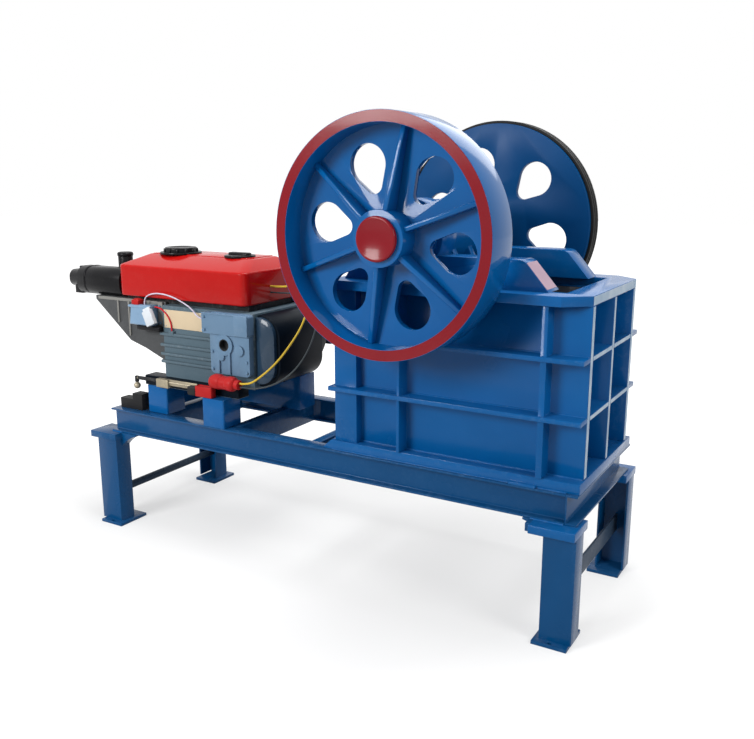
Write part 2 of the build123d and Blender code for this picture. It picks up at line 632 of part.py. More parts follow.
def flywheel(hole_angle, width, web_start):
    """A dished flywheel about +Z, its inner edge at z 0 and its open side up."""
    inner = WHEEL_RADIUS - RIM_THICKNESS
    web_end = web_start + WEB_THICKNESS
    wheel = Pos(0, 0, width / 2) * (Cylinder(WHEEL_RADIUS, width) - Cylinder(inner, width + 2))
    wheel += Pos(0, 0, (web_start + web_end) / 2) * Cylinder(inner + 1, WEB_THICKNESS)
    hub_height = width - HUB_RECESS
    wheel += Pos(0, 0, hub_height / 2) * Cylinder(HUB_RADIUS, hub_height)
    outline = [(HUB_RADIUS - 5, web_end - 1), (inner + 1, web_end - 1), (inner + 1, width - SPOKE_RIM_DROP),
               (HUB_RADIUS - 5, width - SPOKE_HUB_DROP)]
    spoke = Pos(0, SPOKE_THICKNESS / 2, 0) * slab_xz(outline, -SPOKE_THICKNESS, 0)
    step = 360 / HOLE_COUNT
    for k in range(HOLE_COUNT):
        wheel += Rot(0, 0, hole_angle + step * (k + 0.5)) * spoke
        wheel -= Pos(0, 0, web_start) * egg_hole(hole_angle + step * k)
    return wheel - Pos(0, 0, width / 2) * Cylinder(SHAFT_RADIUS + HUB_FIT, width + 2)


def near_flywheel():
    """The flywheel in front, its open side towards -Y."""
    wheel = flywheel(NEAR_HOLE_ANGLE, NEAR_WHEEL_WIDTH, NEAR_WEB_START)
    return Pos(SHAFT_X, NEAR_WHEEL_INNER_Y, SHAFT_Z) * Rot(90, 0, 0) * wheel


def far_flywheel():
    """The narrower flywheel behind, its open side towards +Y; the belts lie on its flat rim."""
    wheel = flywheel(FAR_HOLE_ANGLE, FAR_WHEEL_WIDTH, FAR_WEB_START)
    return mirror_y(Pos(SHAFT_X, -FAR_WHEEL_INNER_Y, SHAFT_Z) * Rot(90, 0, 0) * wheel)


def hub_caps():
    """The round caps that close both hubs."""
    near = drum_y(SHAFT_X, SHAFT_Z, NEAR_HUB_Y - CAP_THICKNESS, NEAR_HUB_Y, CAP_RADIUS)
    near = fillet(near.edges().sort_by(Axis.Y)[0], CAP_EDGE_RADIUS)
    far = drum_y(SHAFT_X, SHAFT_Z, FAR_HUB_Y, FAR_HUB_Y + CAP_THICKNESS, CAP_RADIUS)
    far = fillet(far.edges().sort_by(Axis.Y)[-1], CAP_EDGE_RADIUS)
    return Compound([near, far])


# Jaws
MOVING_FOOT_X = FRONT_WALL_X - JAW_BASE - TOOTH_DEPTH - DISCHARGE_GAP
CHAMBER_HEIGHT = JAW_TOP_Z - JAW_BOTTOM_Z
JAW_LEAN = atan2(FEED_GAPE - DISCHARGE_GAP, CHAMBER_HEIGHT)
LINER_BACK_X = MOVING_FOOT_X - (JAW_BASE + TOOTH_DEPTH) / cos(JAW_LEAN)
SEAT_BACK_X = LINER_BACK_X - PITMAN_DEPTH
LINER_LENGTH = CHAMBER_HEIGHT / cos(JAW_LEAN)


def jaw_plate(height):
    """A toothed liner that stands on its end: flat back at x 0, teeth towards +X."""
    pitch = JAW_WIDTH / TOOTH_COUNT
    points = [(0, -JAW_WIDTH / 2), (JAW_BASE, -JAW_WIDTH / 2)]
    for k in range(TOOTH_COUNT):
        start = -JAW_WIDTH / 2 + k * pitch
        points += [(JAW_BASE, start + pitch * 0.15), (JAW_BASE + TOOTH_DEPTH, start + pitch * 0.4),
                   (JAW_BASE + TOOTH_DEPTH, start + pitch * 0.6), (JAW_BASE, start + pitch * 0.85)]
    points += [(JAW_BASE, JAW_WIDTH / 2), (0, JAW_WIDTH / 2)]
    return slab_xy(points, 0, height)


def fixed_jaw_plate():
    """The liner on the front wall, teeth towards the engine."""
    plate = Rot(0, 0, 180) * jaw_plate(CHAMBER_HEIGHT)
    return Pos(FRONT_WALL_X, 0, JAW_BOTTOM_Z) * plate


def moving_place():
    """The place and lean of the moving liner's back at its foot."""
    return Pos(LINER_BACK_X, 0, JAW_BOTTOM_Z) * Rot(0, -degrees(JAW_LEAN), 0)


def moving_jaw_plate():
    """The liner on the swinging jaw, leaning back towards the top."""
    return moving_place() * jaw_plate(LINER_LENGTH)


def pitman():
    """The swinging jaw: a barrel on the shaft and a ribbed body that tapers to the toggle seat."""
    half = PITMAN_WIDTH / 2
    lean = tan(JAW_LEAN)
    top_x = LINER_BACK_X - CHAMBER_HEIGHT * lean
    face_inset = PITMAN_FACE / 2
    seat_z = JAW_BOTTOM_Z + SEAT_RISE
    outline = [(LINER_BACK_X - face_inset, seat_z), (top_x - face_inset, JAW_TOP_Z),
               (SHAFT_X + PITMAN_BARREL_RADIUS * 0.8, SHAFT_Z - PITMAN_RIB),
               (SHAFT_X - PITMAN_BARREL_RADIUS * 0.9, SHAFT_Z - PITMAN_RIB),
               (top_x - PITMAN_DEPTH, JAW_TOP_Z - PITMAN_DEPTH),
               (SEAT_BACK_X, seat_z + SEAT_HEIGHT), (SEAT_BACK_X, seat_z)]
    body = moving_place() * block(-PITMAN_FACE, 0, -JAW_WIDTH / 2, JAW_WIDTH / 2, 0, LINER_LENGTH)
    for y in (-half + PITMAN_RIB / 2, 0, half - PITMAN_RIB / 2):
        body += slab_xz(outline, y - PITMAN_RIB / 2, y + PITMAN_RIB / 2)
    body += drum_y(SHAFT_X, SHAFT_Z, -half, half, PITMAN_BARREL_RADIUS)
    seat_front = LINER_BACK_X - (SEAT_RISE + SEAT_HEIGHT) * lean - 1
    body += block(SEAT_BACK_X, seat_front, -half, half, seat_z, seat_z + SEAT_HEIGHT)
    return body - drum_y(SHAFT_X, SHAFT_Z, -half - 1, half + 1, JOURNAL_RADIUS + BEARING_FIT)


def cheek_plates():
    """The wear plates on the inside of both side plates, beside the crushing chamber."""
    right = FRONT_WALL_X - JAW_BASE - TOOTH_DEPTH
    top_x = MOVING_FOOT_X - CHAMBER_HEIGHT * tan(JAW_LEAN)
    outline = [(right, JAW_BOTTOM_Z), (right, JAW_TOP_Z), (top_x, JAW_TOP_Z), (MOVING_FOOT_X, JAW_BOTTOM_Z)]
    plate = slab_xz(outline, -SIDE_INNER_Y, -SIDE_INNER_Y + CHEEK_THICKNESS)
    return Compound([plate, mirror_y(plate)])


def toggle_block():
    """The cross block between the side plates that the toggle plate pushes on."""
    return block(TOGGLE_BLOCK_X, TOGGLE_BLOCK_X + TOGGLE_BLOCK_LENGTH, -SIDE_INNER_Y, SIDE_INNER_Y,
                 TOGGLE_BLOCK_Z, TOGGLE_BLOCK_Z + TOGGLE_BLOCK_HEIGHT)


def toggle_plate():
    """The plate between the toggle block and the jaw's seat."""
    z = JAW_BOTTOM_Z + SEAT_RISE + SEAT_HEIGHT * 0.7
    return block(TOGGLE_BLOCK_X + TOGGLE_BLOCK_LENGTH, SEAT_BACK_X, -TOGGLE_WIDTH / 2, TOGGLE_WIDTH / 2,
                 z - TOGGLE_THICKNESS / 2, z + TOGGLE_THICKNESS / 2)


def tension_rod():
    """The rod that pulls the jaw back, with its nut and washer behind the back wall."""
    rod = drum_x(-BODY_LENGTH - ROD_END_REACH, SEAT_BACK_X, 0, ROD_Z, ROD_RADIUS)
    rod += drum_x(-BODY_LENGTH - WASHER_THICKNESS, -BODY_LENGTH, 0, ROD_Z, WASHER_RADIUS)
    nut = extrude(Plane.YZ * RegularPolygon(NUT_RADIUS, 6), amount=NUT_THICKNESS)
    rod += Pos(-BODY_LENGTH - WASHER_THICKNESS - NUT_THICKNESS, 0, ROD_Z) * nut
    return rod


# Engine
def crankcase():
    """The engine's main casting on its two feet, with its rounded rear and the neck under the hood."""
    case = block(CRANKCASE_LEFT_X, CRANKCASE_RIGHT_X, ENGINE_FRONT_Y, ENGINE_BACK_Y,
                 CRANKCASE_BOTTOM_Z, CRANKCASE_TOP_Z)
    rear = block(CRANKCASE_RIGHT_X - 30, REAR_RIGHT_X, REAR_FRONT_Y, REAR_BACK_Y,
                 CRANKCASE_BOTTOM_Z + REAR_BOTTOM_RISE, CRANKCASE_TOP_Z - REAR_TOP_DROP)
    right_edges = rear.edges().filter_by(Axis.Y).sort_by(Axis.X)[-2:]
    case += fillet(right_edges, REAR_RADIUS)
    case += block(CRANKCASE_LEFT_X, NECK_RIGHT_X, NECK_FRONT_Y, NECK_BACK_Y, CRANKCASE_TOP_Z, HOOD_BOTTOM_Z)
    for front, right in ((NEAR_FOOT_Y, NEAR_FOOT_RIGHT_X), (FAR_FOOT_Y, FAR_FOOT_RIGHT_X)):
        case += block(ENGINE_FOOT_LEFT_X, right, front, front + ENGINE_FOOT_WIDTH,
                      BLOCK_TOP_Z, CRANKCASE_BOTTOM_Z)
    for rise in RIDGE_RISES:
        z = CRANKCASE_BOTTOM_Z + rise
        ridge = block(RIDGE_LEFT_X, COVER_LEFT_X, ENGINE_FRONT_Y - RIDGE_REACH, ENGINE_FRONT_Y,
                      z - RIDGE_REACH / 2, z + RIDGE_REACH / 2)
        case += fillet(ridge.edges().filter_by(Axis.X).sort_by(Axis.Y)[:2], RIDGE_REACH * 0.4)
    return case + block(HOSE_END_X - STUB_LENGTH / 2, HOSE_END_X + STUB_LENGTH / 2, ENGINE_FRONT_Y - STUB_REACH,
                        ENGINE_FRONT_Y, BLOCK_TOP_Z + STUB_BOTTOM_RISE, BLOCK_TOP_Z + STUB_TOP_RISE)


def gear_cover():
    """The cover over the timing gears, with its upper plate, bosses, ribs and the hand crank's hole."""
    face = ENGINE_FRONT_Y - COVER_THICKNESS
    cover = block(COVER_LEFT_X, CRANKCASE_RIGHT_X, face, ENGINE_FRONT_Y,
                  CRANKCASE_BOTTOM_Z + COVER_RISE, CRANKCASE_TOP_Z)
    cover = fillet(cover.edges().filter_by(Axis.Y), COVER_CORNER_RADIUS)
    upper = block(UPPER_COVER_LEFT_X, UPPER_COVER_RIGHT_X, face - UPPER_COVER_REACH, ENGINE_FRONT_Y,
                  CRANKCASE_BOTTOM_Z + UPPER_COVER_RISE, CRANKCASE_TOP_Z - UPPER_COVER_TOP_DROP)
    cover += fillet(upper.edges().filter_by(Axis.Y), COVER_CORNER_RADIUS / 2)
    boss_face = face - CRANK_BOSS_REACH
    cover += drum_y(CRANK_X, CRANK_Z, boss_face, ENGINE_FRONT_Y, CRANK_BOSS_RADIUS)
    for across, up, radius in SMALL_BOSSES:
        cover += drum_y(CRANK_X + across, CRANK_Z + up, boss_face, ENGINE_FRONT_Y, radius)
    rib_bottom = CRANKCASE_BOTTOM_Z + COVER_RISE + COVER_RIB_THICKNESS / 2
    for across in COVER_RIB_PLACES:
        cover += block(CRANK_X + across - COVER_RIB_THICKNESS / 2, CRANK_X + across + COVER_RIB_THICKNESS / 2,
                       boss_face, ENGINE_FRONT_Y, rib_bottom, rib_bottom + COVER_RIB_HEIGHT)
    return cover - drum_y(CRANK_X, CRANK_Z, boss_face - 1, ENGINE_FRONT_Y - CRANK_HOLE_FLOOR,
                          CRANK_HOLE_RADIUS)


def cylinder_head():
    """The tapered casting on the engine's outer end, with the neck block under the hood."""
    outline = [(HEAD_LEFT_X + across, HEAD_TOP_Z + up) for across, up in HEAD_OUTLINE]
    head = slab_xz([(HEAD_LEFT_X, HEAD_TOP_Z)] + outline + [(CRANKCASE_LEFT_X, HEAD_TOP_Z)],
                   HEAD_FRONT_Y, HEAD_BACK_Y)
    return head + block(HEAD_NECK_LEFT_X, CRANKCASE_LEFT_X, NECK_FRONT_Y, NECK_BACK_Y,
                        HEAD_TOP_Z - 1, HOOD_BOTTOM_Z)


def hood():
    """The red tank and hood with rounded corners, its top sloped in on all sides."""
    length = HOOD_RIGHT_X - HOOD_LEFT_X
    width = HOOD_BACK_Y - ENGINE_FRONT_Y
    base = Pos((HOOD_LEFT_X + HOOD_RIGHT_X) / 2, (ENGINE_FRONT_Y + HOOD_BACK_Y) / 2, HOOD_BOTTOM_Z)
    outline = RectangleRounded(length, width, HOOD_CORNER_RADIUS)
    low = Pos(0, 0, HOOD_SIDE_HEIGHT) * outline
    shift_x = (HOOD_LEFT_INSET - HOOD_RIGHT_INSET) / 2
    shift_y = (HOOD_FRONT_INSET - HOOD_BACK_INSET) / 2
    high = Pos(shift_x, shift_y, HOOD_SIDE_HEIGHT + HOOD_SLOPE_HEIGHT) * RectangleRounded(
        length - HOOD_LEFT_INSET - HOOD_RIGHT_INSET, width - HOOD_FRONT_INSET - HOOD_BACK_INSET,
        HOOD_CORNER_RADIUS)
    return base * (extrude(outline, amount=HOOD_SIDE_HEIGHT, dir=(0, 0, 1)) + loft([low, high]))


def filler_caps():
    """The wide black cap and the smaller dark cap on the hood."""
    wide = drum_z(WIDE_CAP_X, CAPS_Y, HOOD_TOP_Z, HOOD_TOP_Z + WIDE_CAP_HEIGHT, WIDE_CAP_RADIUS)
    wide = fillet(wide.edges().sort_by(Axis.Z)[-1], WIDE_CAP_EDGE)
    small = drum_z(SMALL_CAP_X, CAPS_Y, HOOD_TOP_Z, HOOD_TOP_Z + SMALL_CAP_HEIGHT, SMALL_CAP_RADIUS)
    small = fillet(small.edges().sort_by(Axis.Z)[-1], SMALL_CAP_EDGE)
    return Compound([wide, small])


def air_cleaner():
    """The black air cleaner on the head with its nose and lip, and the exhaust pipe behind it."""
    body = block(CLEANER_LEFT_X, HOOD_LEFT_X, CLEANER_Y - CLEANER_WIDTH / 2, CLEANER_Y + CLEANER_WIDTH / 2,
                 HEAD_TOP_Z, HEAD_TOP_Z + CLEANER_HEIGHT)
    body = fillet(body.edges().filter_by(Axis.X), CLEANER_CORNER_RADIUS)
    nose = block(NOSE_LEFT_X, CLEANER_LEFT_X + 15, CLEANER_Y - NOSE_WIDTH / 2, CLEANER_Y + NOSE_WIDTH / 2,
                 HEAD_TOP_Z + NOSE_RISE, HEAD_TOP_Z + NOSE_RISE + NOSE_HEIGHT)
    body += fillet(nose.edges().filter_by(Axis.X), NOSE_CORNER_RADIUS)
    body += block(CLEANER_LEFT_X - LIP_LENGTH, CLEANER_LEFT_X + 5, CLEANER_Y - LIP_WIDTH / 2,
                  CLEANER_Y + LIP_WIDTH / 2, HEAD_TOP_Z, HEAD_TOP_Z + NOSE_RISE + 5)
    exhaust = drum_z(EXHAUST_X, EXHAUST_Y, HEAD_TOP_Z, HEAD_TOP_Z + EXHAUST_HEIGHT, EXHAUST_RADIUS)
    return Compound([body, exhaust])


def fuel_filter():
    """The box filter on the front of the cylinder head."""
    top = HEAD_TOP_Z - FILTER_TOP_DROP
    outline = [(FILTER_LEFT_X, top), (FILTER_RIGHT_X, top), (FILTER_RIGHT_X, top - FILTER_HEIGHT),
               (FILTER_FOOT_LEFT_X, top - FILTER_HEIGHT)]
    box = slab_xz(outline, HEAD_FRONT_Y - FILTER_DEPTH, HEAD_FRONT_Y)
    return fillet(box.edges().sort_by(Axis.Y)[:4], FILTER_EDGE)


def engine_flywheel():
    """The engine's black flywheel on its far side."""
    start = ENGINE_BACK_Y + ENGINE_WHEEL_GAP
    disc = drum_y(CRANK_X, CRANK_Z, start, start + ENGINE_WHEEL_WIDTH, ENGINE_WHEEL_RADIUS)
    disc = chamfer(disc.edges().filter_by(GeomType.CIRCLE), ENGINE_WHEEL_EDGE)
    return disc + drum_y(CRANK_X, CRANK_Z, ENGINE_BACK_Y, start, CRANK_STUB_RADIUS)


def belt_places():
    """The middle of each belt across the machine."""
    return [BELT_FIRST_Y + k * BELT_PITCH for k in range(BELT_COUNT)]


def engine_pulley():
    """The grooved pulley on its long hub, in line with the far flywheel."""
    hub_start = ENGINE_BACK_Y + ENGINE_WHEEL_GAP + ENGINE_WHEEL_WIDTH
    middle = BELT_FIRST_Y + (BELT_COUNT - 1) * BELT_PITCH / 2
    start = middle - PULLEY_WIDTH / 2
    pulley = drum_y(CRANK_X, CRANK_Z, start, start + PULLEY_WIDTH, PULLEY_RADIUS)
    pulley += drum_y(CRANK_X, CRANK_Z, hub_start, start, PULLEY_HUB_RADIUS)
    groove = BELT_THICKNESS + SEAT_GAP
    for y in belt_places():
        ring = drum_y(CRANK_X, CRANK_Z, y - BELT_WIDTH / 2 - SEAT_GAP, y + BELT_WIDTH / 2 + SEAT_GAP,
                      PULLEY_RADIUS + 1)
        pulley -= ring - drum_y(CRANK_X, CRANK_Z, y - BELT_WIDTH, y + BELT_WIDTH, PULLEY_RADIUS - groove)
    return pulley


def belt_outline(wheel_radius, pulley_radius):
    """The side view of a belt's outer or inner line round the wheel and the pulley."""
    wheel = Pos(SHAFT_X, SHAFT_Z) * Circle(wheel_radius)
    pulley = Pos(CRANK_X, CRANK_Z) * Circle(pulley_radius)
    return make_hull(wheel.edges() + pulley.edges())


def drive_belts():
    """The belts from the engine's pulley to the far flywheel, each one closed loop."""
    rim = WHEEL_RADIUS + SEAT_GAP
    loop = belt_outline(rim + BELT_THICKNESS, PULLEY_RADIUS) - belt_outline(rim, PULLEY_RADIUS - BELT_THICKNESS)
    belts = []
    for y in belt_places():
        plane = Plane(origin=(0, y + BELT_WIDTH / 2, 0), x_dir=(1, 0, 0), z_dir=(0, -1, 0))
        belts.append(extrude(plane * loop, amount=BELT_WIDTH))
    return Compound(belts)


def hand_lever():
    """The long lever over the blocks, with its ball grip and the lug on the engine's foot."""
    z = BLOCK_TOP_Z + LEVER_RISE
    lever = drum_x(LEVER_LEFT_X, LEVER_RIGHT_X, LEVER_Y, z, LEVER_RADIUS)
    lever += drum_z(LEVER_LEFT_X, LEVER_Y, z - LEVER_BALL_DROP, z, LEVER_RADIUS)
    lever += Pos(LEVER_LEFT_X, LEVER_Y, z) * Sphere(LEVER_RADIUS)
    lever += Pos(LEVER_LEFT_X, LEVER_Y, z - LEVER_BALL_DROP) * Sphere(LEVER_BALL_RADIUS)
    return lever + block(LUG_LEFT_X, LUG_RIGHT_X, LUG_FRONT_Y, NEAR_FOOT_Y,
                         BLOCK_TOP_Z + LUG_RISE, BLOCK_TOP_Z + LUG_RISE + LUG_HEIGHT)


def cable_boot():
    """The red boot on the starter's terminal, with its clamp and black cap on the near block."""
    boot = drum_x(BOOT_LEFT_X, BOOT_RIGHT_X, BOOT_Y, BLOCK_TOP_Z + BOOT_RISE, BOOT_RADIUS)
    boot = fillet(boot.edges().filter_by(GeomType.CIRCLE), BOOT_RADIUS / 2)
    boot += block(CLAMP_LEFT_X, CLAMP_RIGHT_X, CLAMP_FRONT_Y, CLAMP_BACK_Y,
                  BLOCK_TOP_Z, BLOCK_TOP_Z + CLAMP_HEIGHT)
    return boot + block(TERMINAL_LEFT_X, CLAMP_LEFT_X, CLAMP_FRONT_Y, CLAMP_BACK_Y,
                        BLOCK_TOP_Z, BLOCK_TOP_Z + TERMINAL_HEIGHT)


def rubber_pad():
    """The stepped black rubber pad on the near rail's left end."""
    low_top = RAIL_TOP_Z + PAD_HEIGHT
    pad = block(PAD_LEFT_X, PAD_RIGHT_X, PAD_FRONT_Y, PAD_BACK_Y, RAIL_TOP_Z, low_top)
    return pad + block(PAD_STEP_X, PAD_RIGHT_X, PAD_FRONT_Y, PAD_BACK_Y, low_top, low_top + PAD_STEP_HEIGHT)


# Cables
def cable(name, start, bends, end, diameter):
    """A cable of even thickness with rounded bends, from one seat to another."""
    points = [Vector(*start)] + [Vector(x, y, BLOCK_TOP_Z + rise) for x, y, rise in bends] + [Vector(*end)]
    runs = [after - before for before, after in zip(points, points[1:])]
    radii = []
    for run, following in zip(runs, runs[1:]):
        half_turn = radians(run.get_angle(following)) / 2
        radii.append(ARC_SHARE * min(run.length, following.length) / tan(half_turn))
    path = FilletPolyline(*points, radius=radii)
    print(name, "length", round(path.length), "bend radii", [round(radius) for radius in radii])
    return sweep(Plane(origin=points[0], z_dir=runs[0]) * Circle(diameter / 2), path=path)


def yellow_cable():
    """The yellow cable from the boot, up behind the near flywheel to the hood's end."""
    boot_z = BLOCK_TOP_Z + BOOT_RISE + YELLOW_RISE
    return cable("yellow_cable", (BOOT_RIGHT_X, BOOT_Y, boot_z), YELLOW_BENDS,
                 (HOOD_RIGHT_X, YELLOW_END_Y, BLOCK_TOP_Z + YELLOW_END_RISE), YELLOW_DIAMETER)


def grey_cable():
    """The thinner dark cable below the yellow one."""
    boot_z = BLOCK_TOP_Z + BOOT_RISE - GREY_DROP
    return cable("grey_cable", (BOOT_RIGHT_X, BOOT_Y, boot_z), GREY_BENDS,
                 (HOOD_RIGHT_X, GREY_END_Y, BLOCK_TOP_Z + GREY_END_RISE), GREY_DIAMETER)


def fuel_hose():
    """The red hose from the filter's side down to its stub on the crankcase."""
    return cable("fuel_hose", (FILTER_RIGHT_X, HOSE_START_Y, BLOCK_TOP_Z + HOSE_START_RISE), HOSE_BENDS,
                 (HOSE_END_X, HOSE_END_Y, BLOCK_TOP_Z + STUB_TOP_RISE), HOSE_DIAMETER)


def pale_cable():
    """The pale cable from the filter's top to the upper gear cover's edge."""
    return cable("pale_cable", (PALE_START_X, PALE_START_Y, HEAD_TOP_Z - FILTER_TOP_DROP), PALE_BENDS,
                 (UPPER_COVER_LEFT_X, PALE_END_Y, BLOCK_TOP_Z + PALE_END_RISE), PALE_DIAMETER)


PIECES = {
    "near_rail": rail,
    "far_rail": lambda: mirror_y(rail()),
    "cross_beams": cross_beams,
    "near_left_leg": lambda: leg(LEG_LEFT_X, LEFT_TOP_SHIFT, LEFT_FOOT_SHIFT, 1),
    "near_right_leg": lambda: leg(LEG_RIGHT_X, RIGHT_TOP_SHIFT, RIGHT_FOOT_SHIFT, -1),
    "far_left_leg": lambda: mirror_y(leg(LEG_LEFT_X, LEFT_TOP_SHIFT, LEFT_FOOT_SHIFT, 1)),
    "far_right_leg": lambda: mirror_y(leg(LEG_RIGHT_X, RIGHT_TOP_SHIFT, RIGHT_FOOT_SHIFT, -1)),
    "leg_braces": leg_braces,
    "engine_blocks": engine_blocks,
    "near_side_wall": side_wall,
    "far_side_wall": lambda: mirror_y(side_wall()),
    "front_wall": front_wall,
    "back_wall": back_wall,
    "top_flange": top_flange,
    "base_flange": base_flange,
    "near_bearing_stand": bearing_stand,
    "far_bearing_stand": lambda: mirror_y(bearing_stand()),
    "crusher_shaft": shaft,
    "near_flywheel": near_flywheel,
    "far_flywheel": far_flywheel,
    "hub_caps": hub_caps,
    "moving_jaw": pitman,
    "moving_jaw_plate": moving_jaw_plate,
    "fixed_jaw_plate": fixed_jaw_plate,
    "cheek_plates": cheek_plates,
    "toggle_block": toggle_block,
    "toggle_plate": toggle_plate,
    "tension_rod": tension_rod,
    "engine_crankcase": crankcase,
    "gear_cover": gear_cover,
    "cylinder_head": cylinder_head,
    "engine_hood": hood,
    "filler_caps": filler_caps,
    "air_cleaner": air_cleaner,
    "fuel_filter": fuel_filter,
    "engine_flywheel": engine_flywheel,
    "engine_pulley": engine_pulley,
    "drive_belts": drive_belts,
    "hand_lever": hand_lever,
    "cable_boot": cable_boot,
    "rubber_pad": rubber_pad,
    "yellow_cable": yellow_cable,
    "grey_cable": grey_cable,
    "fuel_hose": fuel_hose,
    "pale_cable": pale_cable,
}

for name, make in PIECES.items():
    save(name, make())
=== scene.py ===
"""Looks of a jaw crusher with its diesel engine, skid and legs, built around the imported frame."""

import json
import logging
import math
from collections.abc import Callable, Sequence
from dataclasses import dataclass
from enum import Enum

import bmesh
import bpy
from mathutils import Matrix, Vector

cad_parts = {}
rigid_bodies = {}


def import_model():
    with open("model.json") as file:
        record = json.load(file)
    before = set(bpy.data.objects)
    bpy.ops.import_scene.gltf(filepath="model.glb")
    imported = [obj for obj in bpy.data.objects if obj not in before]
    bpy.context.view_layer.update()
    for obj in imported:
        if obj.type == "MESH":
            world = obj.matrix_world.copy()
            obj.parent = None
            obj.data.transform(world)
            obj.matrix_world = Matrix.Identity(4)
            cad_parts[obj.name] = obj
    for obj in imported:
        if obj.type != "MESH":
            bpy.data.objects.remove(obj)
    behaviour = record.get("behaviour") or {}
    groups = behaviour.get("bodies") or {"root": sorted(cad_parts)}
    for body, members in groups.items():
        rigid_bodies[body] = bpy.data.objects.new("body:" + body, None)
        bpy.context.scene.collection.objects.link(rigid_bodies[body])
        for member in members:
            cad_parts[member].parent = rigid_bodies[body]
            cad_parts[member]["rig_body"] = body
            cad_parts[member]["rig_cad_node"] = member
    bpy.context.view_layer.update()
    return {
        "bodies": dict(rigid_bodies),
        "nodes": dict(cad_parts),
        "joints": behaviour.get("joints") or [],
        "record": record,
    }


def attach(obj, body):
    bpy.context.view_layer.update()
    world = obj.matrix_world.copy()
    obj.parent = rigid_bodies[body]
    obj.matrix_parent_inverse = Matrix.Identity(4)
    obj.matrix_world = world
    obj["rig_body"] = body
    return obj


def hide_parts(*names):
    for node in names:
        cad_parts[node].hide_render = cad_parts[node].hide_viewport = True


LOG = logging.getLogger("jaw_crusher")

MM = 0.001
MERGE_DISTANCE = 0.00002
SMOOTH_ANGLE = math.radians(35)
FLAT_ANGLE = math.radians(0.6)
BEVEL_ANGLE = math.radians(32)
FACING = 0.9
DUST_COLOUR = (0.55, 0.56, 0.56)
BUMP_DISTANCE = 0.002
COAT_ROUGHNESS = 0.06

# Places shared with the frame, in millimetres from the crusher's ribbed end
ORIGIN_X = -1471.5
ORIGIN_Y = 37.0
SHAFT_X = -785.0
SHAFT_Z = 1622.0
BED_TOP_Z = 781.0
RAIL_TOP_Z = 636.0
BODY_Z = 679.0
FLANGE_UNDER_Z = 1379.0
FLANGE_TOP_Z = 1419.0
ENGINE_FRONT_Y = -300.0
CRANKCASE_TOP_Z = 1208.0
HEAD_TOP_Z = 1222.0
HOOD_BOTTOM_Z = 1240.0
HOOD_TOP_Z = 1450.0

Point = tuple[float, float, float]
Span = tuple[float, float]
Colour = tuple[float, float, float]


def at(x: float, y: float, z: float) -> Vector:
    """Turns a place in the maker's millimetres into metres in the row's frame.

    Args:
        x: Distance from the crusher's ribbed end, negative towards the engine.
        y: Distance from the crusher's middle plane, negative towards the near flywheel.
        z: Height above the floor.

    Returns:
        The same place in metres in the row's frame.
    """
    return Vector(((x - ORIGIN_X) * MM, (y - ORIGIN_Y) * MM, z * MM))


class Body(Enum):
    """The two rigid bodies of the machine."""

    FRAME = "main_frame"
    ROTOR = "flywheel_rotor"


class Axis(Enum):
    """The direction that a round bar runs in, with the turn that lays a primitive along it."""

    X = (0.0, math.pi / 2, 0.0)
    Y = (math.pi / 2, 0.0, 0.0)
    Z = (0.0, 0.0, 0.0)


